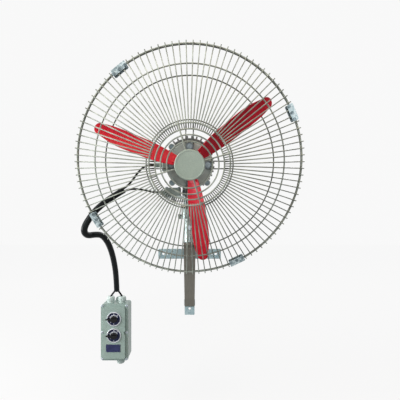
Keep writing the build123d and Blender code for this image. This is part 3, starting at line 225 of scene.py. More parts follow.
def plated(name, light, dark, roughness, metallic, tint=None):
    """Plated or turned metal. tint(look, colour) may recolour parts of it."""
    look = Look(name, metallic=metallic)
    fine = look.noise(1200, 3, 0.6)
    body = (look.noise(70, 3, 0.6) * 0.7 + fine * 0.3).ramp(0.36, 0.64).blend(dark, light)
    if tint:
        body = tint(look, body)
    rubbed = tuple(min(1.0, c * 1.3) for c in light)
    look.feed("Base Color", (look.worn_edges(0.0006) * 0.6).blend(body, rubbed))
    look.feed("Roughness", fine.ramp(0.2, 0.8, roughness - 0.08, roughness + 0.1))
    return look.bump(fine, 0.00004, 0.4, round_edges=0.0005)


# A place on the motor's axis and the axis's tilt, the circle of the face bolts, and the distances
# from a bolt between which its head gives way to the dark washer.
HEAD_Y, HEAD_Z = -0.306, 0.305
HEAD_TILT = math.radians(10.3)
FACE_BOLT_RADIUS = 0.058
HEAD_ENDS, WASHER_STARTS = 0.0076, 0.0084
WASHER_GREY = (0.085, 0.10, 0.105)


def dark_washers(look, colour):
    """Darker outside the face bolts' heads, worked out in the tilted face of the motor."""
    across = look.part(look.point, 0).absolute()
    y, z = look.part(look.point, 1) - HEAD_Y, look.part(look.point, 2) - HEAD_Z
    up = (z * math.cos(HEAD_TILT) - y * math.sin(HEAD_TILT)).absolute()
    beside = (across - FACE_BOLT_RADIUS).squared() + up.squared()
    above = across.squared() + (up - FACE_BOLT_RADIUS).squared()
    outside = beside.least(above).ramp(HEAD_ENDS ** 2, WASHER_STARTS ** 2)
    return outside.blend(colour, WASHER_GREY)


def strut_steel():
    """Drawn steel streaked mostly upwards, its grey-brown darker than the strips' zinc as painted
    shade.
    """
    look = Look("strut_steel", metallic=0.2)
    streaks = look.noise(1.0, 5, 0.6, point=look.stretched(260, 40, 9))
    tone = (streaks * 0.5 + look.noise(14, 4, 0.6) * 0.5).ramp(0.3, 0.7)
    # The brown-grey pair is painted shade: the strips' steel darkened for faces that look down,
    # given to the whole frame.
    body = tone.blend((0.165, 0.152, 0.125), (0.26, 0.245, 0.205))
    look.feed("Base Color", (look.worn_edges(0.0008) * 0.6).blend(body, (0.34, 0.33, 0.29)))
    look.feed("Roughness", streaks.ramp(0.3, 0.7, 0.36, 0.52))
    return look.bump(streaks, 0.00012, round_edges=0.001)


def hammered_cap():
    """Hammer-finish paint on the centre cap, paler along its edges."""
    look = Look("cap_hammer_paint", metallic=0.1, coat_weight=0.3, coat_roughness=0.22)
    hammer = look.noise(420, 2, 0.45, distortion=0.4)
    tone = (hammer * 0.6 + look.noise(30, 3, 0.6) * 0.4).ramp(0.3, 0.7)
    body = tone.blend((0.222, 0.278, 0.230), (0.272, 0.330, 0.272))
    look.feed("Base Color", look.worn_edges(0.0012, 0.01, 0.25).blend(body, (0.45, 0.51, 0.46)))
    look.feed("Roughness", hammer.ramp(0.3, 0.7, 0.28, 0.42))
    return look.bump(hammer, 0.00015, round_edges=0.0008)


def coated_wire(name, light, dark):
    """Grey-green dip coat on the cage, with a few dirty specks."""
    look = Look(name, specular_ior_level=0.3, coat_weight=0.05, coat_roughness=0.25)
    cloud = look.noise(22, 4, 0.6)
    speck = look.noise(700, 2)
    body = cloud.ramp(0.3, 0.72).blend(dark, light)
    spots = speck.ramp(0.62, 0.72) * cloud.ramp(0.5, 0.65) * 0.5
    look.feed("Base Color", spots.blend(body, (0.18, 0.165, 0.13)))
    look.feed("Roughness", speck.ramp(0.2, 0.8, 0.30, 0.46))
    return look.bump(speck, 0.00006, 0.4)


def blade_paint():
    """Gloss red paint with a faint orange peel, paler where the edges are rubbed."""
    look = Look("blade_red", specular_ior_level=0.15, coat_weight=0.06, coat_roughness=0.12)
    fine = look.noise(260, 3, 0.6)
    tone = (look.noise(9, 4, 0.6) * 0.7 + fine * 0.3).ramp(0.34, 0.68)
    body = tone.blend((0.55, 0.010, 0.028), (0.74, 0.020, 0.042))
    worn = look.worn_edges(0.0012, 0.02, 0.4) * 0.5
    look.feed("Base Color", worn.blend(body, (0.62, 0.05, 0.05)))
    look.feed("Roughness", fine.ramp(0.2, 0.8, 0.26, 0.42))
    return look.bump(look.noise(240, 2), 0.00008, 0.2, round_edges=0.0008)


def rubber(name, colour, roughness):
    """Dull rubber with a slightly paler haze over it."""
    look = Look(name, specular_ior_level=0.13)
    haze = look.noise(60, 4, 0.65)
    pale = tuple(c * 1.8 + 0.002 for c in colour)
    look.feed("Base Color", haze.ramp(0.4, 0.75).blend(colour, pale))
    look.feed("Roughness", haze.ramp(0.3, 0.7, roughness - 0.08, roughness + 0.1))
    return look.bump(look.noise(500, 3, 0.6), 0.00008, 0.4)


def moulding(name, colour, roughness):
    """Moulded plastic or thick print with a fine grain, paler along its edges."""
    look = Look(name, specular_ior_level=0.22)
    grain = look.noise(1400, 2)
    pale = tuple(c * 1.6 + 0.003 for c in colour)
    tone = (look.worn_edges(0.0006) * 0.6 + look.noise(40, 3) * 0.4).least(1.0)
    look.feed("Base Color", tone.blend(colour, pale))
    look.feed("Roughness", grain.ramp(0.2, 0.8, roughness - 0.06, roughness + 0.08))
    return look.bump(grain, 0.00005, round_edges=0.0005)


def brushed_bezel():
    """Bright aluminium rings with fine turning marks."""
    look = Look("bezel_aluminium", metallic=0.35)
    turning = look.noise(1.0, 4, 0.6, point=look.stretched(700, 90, 700))
    look.feed("Base Color", turning.ramp(0.3, 0.7).blend((0.46, 0.50, 0.54), (0.66, 0.69, 0.73)))
    look.feed("Roughness", turning.ramp(0.2, 0.8, 0.18, 0.34))
    return look.bump(turning, 0.00004, 0.4, round_edges=0.0005)


# A height between the dials' plate and the blank one.
PLATES_MEET = -0.335


def printed_plates():
    """Printed sheet: navy dials above, a violet blank plate below them."""
    look = Look("printed_plates", specular_ior_level=0.22)
    grain = look.noise(900, 3, 0.6)
    cloud = look.noise(60, 3, 0.6).ramp(0.3, 0.7)
    dial = cloud.blend((0.004, 0.007, 0.034), (0.008, 0.013, 0.052))
    violet = cloud.blend((0.019, 0.023, 0.075), (0.032, 0.038, 0.110))
    look.feed("Base Color", look.part(look.point, 2).above(PLATES_MEET).blend(violet, dial))
    look.feed("Roughness", grain.ramp(0.2, 0.8, 0.26, 0.40))
    return look.bump(grain, 0.00003, 0.4)


# Where a finish has two colours, they are its light and its dark one.
looks = {
    "bar": galvanised(
        "galvanised_strip", (0.42, 0.54, 0.56), (0.27, 0.38, 0.41),
        spangle=120, roughness=0.42, metallic=0.30,
    ),
    "pipe": galvanised(
        "galvanised_pipe", (0.56, 0.64, 0.62), (0.33, 0.40, 0.39),
        spangle=140, roughness=0.32, metallic=0.6,
    ),
    "clip": galvanised(
        "clip_plate", (0.56, 0.65, 0.67), (0.23, 0.30, 0.32),
        spangle=190, roughness=0.34, metallic=0.5,
    ),
    "zinc": plated(
        "zinc_plated", (0.52, 0.57, 0.61), (0.38, 0.43, 0.47), roughness=0.26, metallic=0.75,
    ),
    "dark_bolt": plated(
        "blued_bolt", (0.20, 0.25, 0.27), (0.09, 0.12, 0.13), roughness=0.30, metallic=0.7,
    ),
    "face_bolt": plated(
        "face_bolt", (0.24, 0.28, 0.295), (0.15, 0.18, 0.195),
        roughness=0.34, metallic=0.6, tint=dark_washers,
    ),
    "weld": plated(
        "weld_metal", (0.30, 0.33, 0.33), (0.17, 0.19, 0.19), roughness=0.38, metallic=0.7,
    ),
    "steel": plated(
        "turned_steel", (0.58, 0.58, 0.57), (0.42, 0.42, 0.42), roughness=0.24, metallic=1.0,
    ),
    "bronze": plated(
        "bearing_bronze", (0.50, 0.33, 0.14), (0.34, 0.22, 0.09), roughness=0.36, metallic=1.0,
    ),
    "strut": strut_steel(),
    "motor": painted_casting(
        "motor_grey", (0.165, 0.175, 0.165), (0.095, 0.105, 0.105),
        roughness=0.42, edge=(0.36, 0.38, 0.38),
    ),
    "face": painted_casting(
        "motor_face_grey", (0.335, 0.38, 0.345), (0.215, 0.25, 0.228),
        roughness=0.36, edge=(0.45, 0.49, 0.47),
    ),
    "green": painted_casting(
        "grey_green_casting", (0.36, 0.43, 0.385), (0.22, 0.28, 0.245),
        roughness=0.36, edge=(0.55, 0.61, 0.57),
    ),
    "box": painted_casting(
        "box_paint", (0.290, 0.380, 0.345), (0.255, 0.338, 0.308),
        roughness=0.38, grain=0.00008, edge=(0.54, 0.63, 0.60),
    ),
    "gland": painted_casting(
        "gland_moulding", (0.55, 0.64, 0.61), (0.46, 0.55, 0.52),
        roughness=0.42, grain=0.00006, edge=(0.64, 0.71, 0.69),
    ),
    "stack": painted_casting(
        "stator_varnish", (0.20, 0.12, 0.07), (0.14, 0.09, 0.05), roughness=0.4,
    ),
    "cap": hammered_cap(),
    # The same coat twice: the front copy lighter as painted light, the back copy darker as painted
    # shade.
    "wire_front_painted_lit": coated_wire("guard_coat_front_painted_lit", (0.385, 0.420, 0.365), (0.180, 0.200, 0.172)),
    "wire_back_painted_shade": coated_wire("guard_coat_back_painted_shade", (0.155, 0.170, 0.146), (0.075, 0.085, 0.072)),
    "blade": blade_paint(),
    "rubber": rubber("sleeve_rubber", (0.0035, 0.0055, 0.0062), roughness=0.34),
    "cable": rubber("cable_rubber", (0.003, 0.0035, 0.004), roughness=0.42),
    "gasket": rubber("gasket_rubber", (0.02, 0.02, 0.02), roughness=0.7),
    "black": moulding("black_moulding", (0.0035, 0.004, 0.0045), roughness=0.36),
    "white": moulding("mark_white", (0.72, 0.74, 0.78), roughness=0.5),
    "plate_line": moulding("plate_line", (0.075, 0.082, 0.145), roughness=0.4),
    "bezel": brushed_bezel(),
    "plate": printed_plates(),
}

NODE_LOOKS = {
    "bar": ["wall_cross_bar", "foot_plate"],
    "strut": ["wall_upright", "support_arm", "diagonal_strut"],
    "pipe": ["post", "post_spigot", "swivel_collar", "swivel_neck"],
    "clip": ["guard_clips"],
    "zinc": ["post_screw", "lid_screws", "gearbox_screws", "tilt_bolt", "small_screws",
             "hub_fasteners"],
    "dark_bolt": ["shield_bolts", "clip_bolts"],
    "face_bolt": ["hex_bolts"],
    "bronze": ["pivot_bush", "thrust_washer"],
    "steel": ["crank", "drive_link", "shaft_bearings", "motor_rotor"],
    "motor": ["tilt_saddle", "motor_body", "motor_rear_shield", "motor_rear_cover", "blade_hub"],
    "face": ["motor_front_shield"],
    "green": ["lock_knob", "gearbox_housing", "gearbox_cover", "terminal_cover", "cap_clamp",
              "motor_cable_gland", "swing_cable_gland"],
    "stack": ["swing_gearmotor", "stator"],
    "cap": ["centre_cap"],
    # Front wires and rings get the painted-light copy of the coat, the back ones its painted-shade
    # copy.
    "wire_front_painted_lit": ["front_guard_wires", "front_guard_rings"],
    "wire_back_painted_shade": ["back_guard_wires", "back_guard_rings", "guard_loops"],
    "blade": ["fan_blades"],
    "box": ["box_body", "box_lid"],
    "gland": ["box_glands"],
    "gasket": ["lid_gasket"],
    "plate": ["face_plates"],
    "bezel": ["dial_bezels"],
    "black": ["switch_blocks", "fan_switch_knob", "swing_switch_knob"],
}
for look_name, names in NODE_LOOKS.items():
    for name in names:
        mesh = NODES[name].data
        mesh.materials.clear()
        mesh.materials.append(looks[look_name])


# ---------------------------------------------------------------- making pieces
def finished(name, bm, look, smooth=True, sharp=40):
    """A piece from a bmesh: faces outwards, and edges sharp from an angle in degrees."""
    bmesh.ops.recalc_face_normals(bm, faces=bm.faces[:])
    mesh = bpy.data.meshes.new(name)
    bm.to_mesh(mesh)
    bm.free()
    for face in mesh.polygons:
        face.use_smooth = smooth
    if smooth:
        mesh.set_sharp_from_angle(angle=math.radians(sharp))
    mesh.materials.append(look)
    return bpy.data.objects.new(name, mesh)


def link(piece, body=None):
    """Puts a finished piece in the scene, riding on a body if one is named."""
    scene.collection.objects.link(piece)
    if body:
        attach(piece, body)
    return piece


# ---------------------------------------------------------------- cables
# Outside diameters and the sleeve's wall, then how many steps a curve and its round section have.
SLEEVE = 21.0
SLEEVE_WALL = 2.0
CABLE = 7.0
CURVE_STEPS = 12
SLEEVE_ROUNDS, CABLE_ROUNDS = 12, 6

# Every route starts at its end nearer to the motor and goes towards the switch box.
SLEEVE_ROUTE = (
    (-221, -212, 238), (-255, -224, 215), (-287, -234, 189), (-311, -241, 164), (-329, -246, 137),
    (-340, -248, 116), (-345, -240, 97), (-339, -222, 85), (-322, -198, 88), (-305, -174, 85),
    (-293, -150, 61), (-286, -122, 24), (-283, -92, -23), (-283, -62, -81), (-286, -42, -140),
)
MOTOR_CABLE_ROUTE = (
    (-118, -183.0, 327.4), (-151, -183.0, 327.4), (-176, -189.5, 303), (-194, -200, 272),
    (-214, -209.6, 247.3), (-234.9, -216.9, 233.3),
)
SWING_CABLE_ROUTE = (
    (-96, -178, 232), (-119, -178, 232), (-146, -182, 239), (-173, -190, 243), (-196, -199, 243),
    (-214.2, -209.6, 237.8), (-230.9, -215.5, 226.5),
)
LEAD_ROUTES = (
    ((-289.4, -45.9, -128.7), (-290.4, -42.4, -138.5), (-310.4, -32.8, -161.5), (-312, -32, -168)),
    ((-281.4, -45.9, -128.7), (-281.6, -42.4, -138.5), (-268.2, -32.8, -161.5), (-267, -32, -168)),
)


def routed_curve(name, route, diameter, look, rounds=CABLE_ROUNDS):
    """A smooth round cable whose control points are the route's own, in millimetres."""
    curve = bpy.data.curves.new(name, "CURVE")
    curve.dimensions = "3D"
    spline = curve.splines.new("NURBS")
    spline.points.add(len(route) - 1)
    for point, place in zip(spline.points, route):
        point.co = (*in_metres(place), 1.0)
    spline.order_u = 3
    spline.use_endpoint_u = True
    spline.resolution_u = curve.resolution_u = CURVE_STEPS
    curve.bevel_depth = diameter / 2 * MM
    curve.bevel_resolution = rounds
    curve.use_fill_caps = True
    curve.materials.append(look)
    return bpy.data.objects.new(name, curve)


def centreline(route):
    """The places along a route's smooth spline, in metres, and their total length."""
    guide = routed_curve("guide", route, 0.0, None)
    mesh = bpy.data.meshes.new_from_object(guide)
    line = [v.co.copy() for v in mesh.vertices]
    bpy.data.meshes.remove(mesh)
    bpy.data.objects.remove(guide)
    return line, sum((b - a).length for a, b in zip(line, line[1:]))


def tube_mesh(name, cable, wall):
    """A mesh of the cable: hollow, with open ends, if it has a wall."""
    cable.data.use_fill_caps = not wall
    mesh = bpy.data.meshes.new_from_object(cable)
    bm = bmesh.new()
    bm.from_mesh(mesh)
    bpy.data.meshes.remove(mesh)
    if wall:
        bmesh.ops.solidify(bm, geom=bm.faces[:], thickness=wall * MM)
    bmesh.ops.remove_doubles(bm, verts=bm.verts[:], dist=SAME_PLACE)
    return finished(name, bm, cable.data.materials[0], sharp=50)


def declare_cord(
    piece, node, line, length, diameter, far_end="object", stiffness="medium", path=None
):
    """Hides the CAD node whose place the piece takes."""
    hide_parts(node)


def bending_cable(name, node, route, diameter, look, wall=0.0, rounds=CABLE_ROUNDS, **facts):
    """A cable between two bodies, as a mesh."""
    guide = routed_curve(name + "_line", route, diameter, look, rounds)
    piece = link(tube_mesh(name, guide, wall))
    bpy.data.objects.remove(guide)
    line, length = centreline(route)
    declare_cord(piece, node, line, length, diameter, path=line, **facts)
    return piece


def riding_cable(name, node, body, route):
    """A cable whose two ends are on the same body."""
    piece = link(routed_curve(name, route, CABLE, looks["cable"]), body)
    declare_cord(piece, node, *centreline(route), CABLE)


sleeve = bending_cable(
    "sleeve_tube", "cable_sleeve", SLEEVE_ROUTE, SLEEVE, looks["rubber"], SLEEVE_WALL,
    SLEEVE_ROUNDS, far_end="bare", stiffness="stiff",
)
in_metres(SLEEVE_ROUTE[-1])
in_metres(SLEEVE_ROUTE[1])
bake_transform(sleeve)
motor_cable = bending_cable(
    "motor_supply_cable", "motor_cable", MOTOR_CABLE_ROUTE, CABLE, looks["cable"]
)
in_metres(MOTOR_CABLE_ROUTE[0])
in_metres(MOTOR_CABLE_ROUTE[-1])
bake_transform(motor_cable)
riding_cable("swing_supply_cable", "swing_cable", "swivel", SWING_CABLE_ROUTE)
for side, route in zip(("left", "right"), LEAD_ROUTES):
    riding_cable(f"box_lead_{side}", "box_leads", "bracket", route)


# ---------------------------------------------------------------- switch box details
# The box's middle, the switches' heights and the face of their dials, how far the lid screws are
# from the box's middle and the Y of their heads, and the blank plate's middle and size.
BOX_X, BOX_Z = -289.0, -295.5
SWITCH_Z = (-241.0, -304.0)
DIAL_Y = -75.0
LID_SCREW_X, LID_SCREW_Z, LID_SCREW_Y = 46.5, 102.0, -67.36
PLATE_X, PLATE_Z = BOX_X - 3, -353.0
PLATE_WIDTH, PLATE_HEIGHT = 55.0, 29.0


def bar(bm, size, centre, turn=0.0):
    """A small bar, turned about Y by an angle in degrees, anticlockwise as seen from the front."""
    place = Matrix.Translation(Vector(centre) * MM) @ Matrix.Rotation(math.radians(-turn), 4, "Y")
    bmesh.ops.create_cube(bm, size=1.0, matrix=place @ Matrix.Diagonal((*in_metres(size), 1)))


# The white marks on the dials: how far they stand proud, the angle and the digit of each switch
# place, the size and the radius of the ticks and of the broad marks, and the digits' height,
# radius and stroke.
MARK = 0.15
MARK_Y = DIAL_Y - MARK / 2
SWITCH_PLACES = ((157, "0"), (225, "1"), (270, "2"))
TICK, TICK_RADIUS = (1.4, MARK, 1.2), 16.9
BROAD_MARK, BROAD_RADIUS = (4.6, MARK, 2.4), 19.3
BROAD_ANGLES = (90, 48)
DIGIT, DIGIT_RADIUS = 3.6, 20.3
STROKE = DIGIT * 0.14
UPRIGHT_LIFT = 0.02
DIGIT_STROKES = {
    "0": ("top", "low", "upper_left", "upper_right", "lower_left", "lower_right"),
    "1": ("upper_right", "lower_right"),
    "2": ("top", "mid", "low", "upper_right", "lower_left"),
}


def stroke(bm, name, x, z):
    """One stroke of a plain digit. Upright strokes stand a hair higher, so no faces coincide."""
    half = DIGIT / 2
    if name in ("top", "mid", "low"):
        lift = {"top": half, "mid": 0.0, "low": -half}[name]
        bar(bm, (half, MARK, STROKE), (x, MARK_Y, z + lift))
        return
    dx = half / 2 if name.endswith("right") else -half / 2
    dz = half / 2 if name.startswith("upper") else -half / 2
    bar(bm, (STROKE, MARK, half + STROKE), (x + dx, MARK_Y - UPRIGHT_LIFT, z + dz))


def on_dial(switch_z, angle, radius):
    """The X and Z at a radius from a switch's middle, at an angle in degrees from +X towards +Z."""
    a = math.radians(angle)
    return BOX_X + radius * math.cos(a), switch_z + radius * math.sin(a)


def dial_marks():
    """A tick and a digit at each switch's three places, and two broad marks above them."""
    bm = bmesh.new()
    for switch_z in SWITCH_Z:
        for angle, digit in SWITCH_PLACES:
            x, z = on_dial(switch_z, angle, TICK_RADIUS)
            bar(bm, TICK, (x, MARK_Y, z), angle)
            for name in DIGIT_STROKES[digit]:
                stroke(bm, name, *on_dial(switch_z, angle, DIGIT_RADIUS))
        for angle in BROAD_ANGLES:
            x, z = on_dial(switch_z, angle, BROAD_RADIUS)
            bar(bm, BROAD_MARK, (x, MARK_Y, z), angle)
    return finished("dial_marks", bm, looks["white"], smooth=False)


def dial_collars():
    """A bright collar part of the way round each knob's foot, on the dial."""
    bm = bmesh.new()
    inner, outer, height, rounding = 12.4, 15.8, 0.6, 0.2
    start, sweep, steps = 22, 190, 44
    for switch_z in SWITCH_Z:
        hub = Vector((BOX_X, DIAL_Y, switch_z)) * MM
        turn = Matrix.Rotation(math.radians(-start), 4, "Y")
        corners = ((inner, 0), (outer, 0), (outer, -height), (inner, -height))
        verts = [bm.verts.new(hub + turn @ (Vector((r, y, 0)) * MM)) for r, y in corners]
        end = bm.faces.new(verts)
        bmesh.ops.spin(
            bm, geom=[end, *end.edges, *verts], cent=hub, axis=(0, -1, 0), dvec=(0, 0, 0),
            angle=math.radians(sweep), steps=steps, use_merge=False, use_duplicate=False,
        )
    piece = finished("dial_collars", bm, looks["bezel"], smooth=False)
    edge = piece.modifiers.new("edge", "BEVEL")
    edge.width = rounding * MM
    edge.segments = 2
    edge.limit_method = "ANGLE"
    return piece


def plate_border():
    """A thin raised line round the blank plate: a flat frame, then given its height."""
    bm = bmesh.new()
    line, raised, inset = 0.4, 0.1, 1.2
    wide, high = PLATE_WIDTH / 2 - inset, PLATE_HEIGHT / 2 - inset
    corners = ((-wide, -high), (-wide, high), (wide, high), (wide, -high))
    verts = [bm.verts.new(Vector((PLATE_X + x, DIAL_Y, PLATE_Z + z)) * MM) for x, z in corners]
    middle = bm.faces.new(verts)
    middle.normal_update()
    bmesh.ops.inset_region(
        bm, faces=[middle], thickness=line * MM, use_boundary=True, use_even_offset=True
    )
    bmesh.ops.delete(bm, geom=[middle], context="FACES")
    front = bmesh.ops.extrude_face_region(bm, geom=bm.faces[:], use_keep_orig=True)
    front_verts = [g for g in front["geom"] if isinstance(g, bmesh.types.BMVert)]
    bmesh.ops.translate(bm, verts=front_verts, vec=(0, -raised * MM, 0))
    return finished("nameplate_border", bm, looks["plate_line"], smooth=False)


# A rivet's radius and height from its top to its foot, and how far it is from the plate's sides.
RIVET_PROFILE = ((0.0, 0.6), (0.4, 0.5), (0.7, 0.3), (0.85, 0.0), (0.0, 0.0))
RIVET_INSET = 3.2
RIVET_STEPS = 12


def plate_rivets():
    """A domed rivet at each corner of the blank plate."""
    bm = bmesh.new()
    wide, high = PLATE_WIDTH / 2 - RIVET_INSET, PLATE_HEIGHT / 2 - RIVET_INSET
    for x in (PLATE_X - wide, PLATE_X + wide):
        for z in (PLATE_Z - high, PLATE_Z + high):
            foot = Vector((x, DIAL_Y, z)) * MM
            verts = [bm.verts.new(foot + Vector((r, -h, 0)) * MM) for r, h in RIVET_PROFILE]
            edges = [bm.edges.new(pair) for pair in zip(verts, verts[1:])]
            bmesh.ops.spin(
                bm, geom=verts + edges, cent=foot, axis=(0, -1, 0), dvec=(0, 0, 0),
                angle=2 * math.pi, steps=RIVET_STEPS, use_merge=True, use_duplicate=False,
            )
    bmesh.ops.remove_doubles(bm, verts=bm.verts[:], dist=SAME_PLACE)
    return finished("nameplate_rivets", bm, looks["dark_bolt"])


# The glands' Y, each gland nut's X, the Z of its middle and its ribs' height, and how many ribs
# a nut has, how far out they are and how large.
GLAND_Y = -32.0
GLAND_NUTS = ((-312, -175.75, 9.5), (-267, -175.75, 9.5), (-272, -414.75, 8.5))
GRIP_RIBS = 20
RIB_RADIUS = 15.1
RIB_DEPTH, RIB_WIDTH, RIB_CHAMFER = 1.2, 2.0, 0.45


def gland_ribs():
    """Grip ribs round each gland nut."""
    bm = bmesh.new()
    out_to_rim = Matrix.Translation(Vector((RIB_RADIUS, 0, 0)) * MM)
    for x, z, height in GLAND_NUTS:
        nut = Matrix.Translation(Vector((x, GLAND_Y, z)) * MM)
        size = Matrix.Diagonal((*in_metres((RIB_DEPTH, RIB_WIDTH, height)), 1))
        for k in range(GRIP_RIBS):
            turn = Matrix.Rotation(2 * math.pi * k / GRIP_RIBS, 4, "Z")
            bmesh.ops.create_cube(bm, size=1.0, matrix=nut @ turn @ out_to_rim @ size)
    bmesh.ops.bevel(
        bm, geom=bm.edges[:], offset=RIB_CHAMFER * MM, segments=1, affect="EDGES",
        profile=0.5, material=-1,
    )
    return finished("gland_nut_ribs", bm, looks["gland"], sharp=30)


# A lid screw's cross of painted shade, standing in for its dark recess: each arm's length and
# width, how far the two arms stand proud, so that no faces coincide, the middle row's turn in
# degrees, and how much each row above is turned further.
CROSS_LENGTH, CROSS_WIDTH = 4.6, 0.8
CROSS_HEIGHTS = (0.10, 0.12)
CROSS_TURN, TURN_PER_ROW = 20, 37


def recess_shade_crosses():
    """Black crosses as painted shade in the crossed recesses of the lid screws, each row left at
    its own angle.
    """
    bm = bmesh.new()
    for x in (BOX_X - LID_SCREW_X, BOX_X + LID_SCREW_X):
        for row in (-1, 0, 1):
            z = BOX_Z + row * LID_SCREW_Z
            turn = CROSS_TURN + row * TURN_PER_ROW
            for raised, arm_turn in zip(CROSS_HEIGHTS, (turn, turn + 90)):
                size = (CROSS_LENGTH, raised, CROSS_WIDTH)
                bar(bm, size, (x, LID_SCREW_Y - raised / 2, z), arm_turn)
    return finished("lid_screw_recess_shade", bm, looks["black"], smooth=False)


link(dial_marks(), "bracket")
link(dial_collars(), "bracket")
link(plate_border(), "bracket")
link(plate_rivets(), "bracket")
link(gland_ribs(), "bracket")
link(recess_shade_crosses(), "bracket")


# ---------------------------------------------------------------- welds
# A bead's usual leg, and the length of its ripples and their depth as a share of the leg.
WELD_LEG = 2.0
RIPPLE, RIPPLE_DEPTH = 2.6, 0.12
STEPS_PER_RIPPLE, FEWEST_STEPS = 6, 8
# A bead's ends have END_SHARE of its thickness, and END_GROWTH is how fast it thickens from there.
END_SHARE, END_GROWTH = 0.35, 6

# Beads on both sides of the bracket's sections, with the Y and Z of both ends and the leg, then
# the Y and Z of the beads that run across the sections.
SIDE_X, ACROSS_X = 20, 19
SIDE_BEADS = (
    ((-5, -19), (-5, 19), 2.0),
    ((-5, -209), (-5, -187), 1.8),
    ((-11, 41), (-11, 59), 1.8),
    ((-11, -209), (-11, -181), 1.8),
    ((-207, 40), (-185, 40), 1.6),
)
CROSS_BEADS = ((-11, 60), (-11, 40), (-11, -178.7), (-183.5, 40), (-5, -211.5))

# The round bead at the pipe's foot: its radius, the pipe's Y and the height of the arm's top, its
# points and ripples, and the mean of its thickness and how far that swings.
FOOT_RADIUS, POST_Y, ARM_TOP = 19.0, -180.0, 60.0
FOOT_STEPS, FOOT_RIPPLES = 150, 46
FOOT_MEAN, FOOT_SWING = 1.05, 0.10


def weld_curve(name):
    """An empty weld: runs are added as splines, thicker and thinner along their length."""
    curve = bpy.data.curves.new(name, "CURVE")
    curve.dimensions = "3D"
    curve.bevel_depth = WELD_LEG * MM
    curve.bevel_resolution = 3
    curve.use_fill_caps = True
    curve.materials.append(looks["weld"])
    return bpy.data.objects.new(name, curve)


def add_run(weld, places, thicknesses, closed=False):
    """One weld run through places, with its thickness at each of them as a share of WELD_LEG."""
    run = weld.data.splines.new("POLY")
    run.points.add(len(places) - 1)
    for point, place, thickness in zip(run.points, places, thicknesses):
        point.co = (*in_metres(place), 1.0)
        point.radius = thickness
    run.use_cyclic_u = closed


def straight_run(weld, start, end, leg):
    """A bead with a ripple every few millimetres, tapering off at its ends."""
    start, end = Vector(start), Vector(end)
    length = (end - start).length
    steps = max(FEWEST_STEPS, int(length / RIPPLE * STEPS_PER_RIPPLE))
    shares = [i / steps for i in range(steps + 1)]

    def thickness(share):
        ripple = 1 + RIPPLE_DEPTH * math.sin(length * share / RIPPLE * 2 * math.pi)
        return leg / WELD_LEG * ripple * min(1.0, END_SHARE + END_GROWTH * min(share, 1 - share))

    add_run(weld, [start.lerp(end, s) for s in shares], [thickness(s) for s in shares])


def bracket_welds():
    """Fillet beads where the square sections meet each other and the strips."""
    weld = weld_curve("bracket_welds")
    for x in (-SIDE_X, SIDE_X):
        for start, end, leg in SIDE_BEADS:
            straight_run(weld, (x, *start), (x, *end), leg)
    for y, z in CROSS_BEADS:
        straight_run(weld, (-ACROSS_X, y, z), (ACROSS_X, y, z), WELD_LEG)
    return weld


def post_weld():
    """The bead round the pipe's foot, on the support arm."""
    weld = weld_curve("post_foot_weld")
    turns = [2 * math.pi * i / FOOT_STEPS for i in range(FOOT_STEPS)]
    places = [
        (FOOT_RADIUS * math.cos(a), POST_Y + FOOT_RADIUS * math.sin(a), ARM_TOP) for a in turns
    ]
    thicknesses = [FOOT_MEAN + FOOT_SWING * math.sin(a * FOOT_RIPPLES) for a in turns]
    add_run(weld, places, thicknesses, closed=True)
    return weld


link(bracket_welds(), "bracket")
link(post_weld(), "bracket")


# ---------------------------------------------------------------- stage and light
FAN = Vector((0, -0.25, 0.1))


def area_light(name, place, size, power, colour):
    """A rectangular lamp that is aimed at the fan. Its power is in watts."""
    lamp = bpy.data.objects.new(name, bpy.data.lights.new(name, "AREA"))
    lamp.data.shape = "RECTANGLE"
    lamp.data.size, lamp.data.size_y = size
    lamp.data.energy = power
    lamp.data.color = colour
    scene.collection.objects.link(lamp)
    lamp.location = place
    lamp.rotation_mode = "QUATERNION"
    lamp.rotation_quaternion = (FAN - Vector(place)).to_track_quat("-Z", "Y")


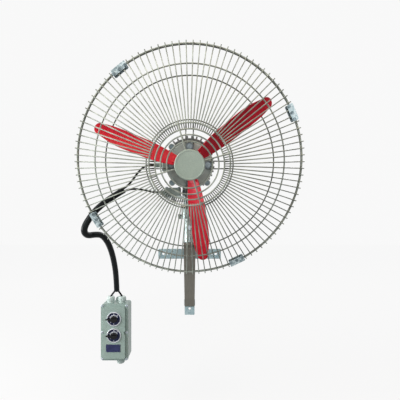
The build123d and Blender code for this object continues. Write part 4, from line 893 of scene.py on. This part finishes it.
area_light("key", (-2.1, -1.9, 1.5), (1.3, 1.3), 56, (1.0, 0.99, 0.98))
area_light("left", (-2.4, -0.6, -0.10), (1.0, 1.0), 42, (0.97, 0.99, 1.0))
area_light("warm", (0.1, -1.5, 2.0), (1.2, 0.9), 13, (1.0, 0.66, 0.36))
area_light("top", (-0.5, -0.4, 2.3), (1.4, 1.0), 14, (1.0, 1.0, 1.0))
area_light("rim", (1.3, 1.2, 1.6), (1.0, 1.0), 16, (0.92, 0.97, 1.0))
area_light("front", (0.5, -2.6, 0.4), (1.4, 1.4), 14, (0.95, 0.98, 1.0))

# The background's white, and the strength at which the world lights the fan.
WHITE = 0.942
AMBIENT = 0.36

# The floor's shade near the fan and far from it, and the distances from the fan's vertical axis
# between which it changes. The first is below 0, so the change has begun at the axis itself.
FLOOR_Z, FLOOR_REACH = -0.72, 9.0
NEAR_SHADE, FAR_SHADE = 0.825, 0.895
NEAR, FAR = -0.4, 3.8


def seen_directly(tree):
    """1 for rays from the camera, gloss and glass, which see the white background."""
    by_camera = add_node(tree, "ShaderNodeLightPath", {}, {}, "Is Camera Ray")
    by_gloss = add_node(tree, "ShaderNodeLightPath", {}, {}, "Is Glossy Ray")
    by_glass = add_node(tree, "ShaderNodeLightPath", {}, {}, "Is Transmission Ray")
    return (by_camera + by_gloss + by_glass).least(1.0)


world = bpy.data.worlds.new("studio")
scene.world = world
world.use_nodes = True
background = world.node_tree.nodes["Background"]
background.inputs["Color"].default_value = (1, 1, 1, 1)
strength = seen_directly(world.node_tree) * (WHITE - AMBIENT) + AMBIENT
world.node_tree.links.new(strength.socket, background.inputs["Strength"])

floor_bm = bmesh.new()
bmesh.ops.create_grid(
    floor_bm, x_segments=1, y_segments=1, size=FLOOR_REACH,
    matrix=Matrix.Translation((0, 0, FLOOR_Z)),
)
floor_look = Look(
    "floor_white", base_color=(0.10, 0.10, 0.10, 1), roughness=0.9, specular_ior_level=0.0,
    emission_strength=1.0,
)
distance = floor_look.add(
    "ShaderNodeVectorMath", {"operation": "LENGTH"}, {0: floor_look.stretched(1, 1, 0)}, "Value"
)
shade = distance.ramp(NEAR, FAR, NEAR_SHADE, FAR_SHADE)
floor_look.feed("Emission Color", seen_directly(floor_look.tree) * shade)
floor = finished("floor", floor_bm, floor_look.material, smooth=False)
scene.collection.objects.link(floor)

scene.view_settings.view_transform = "Standard"
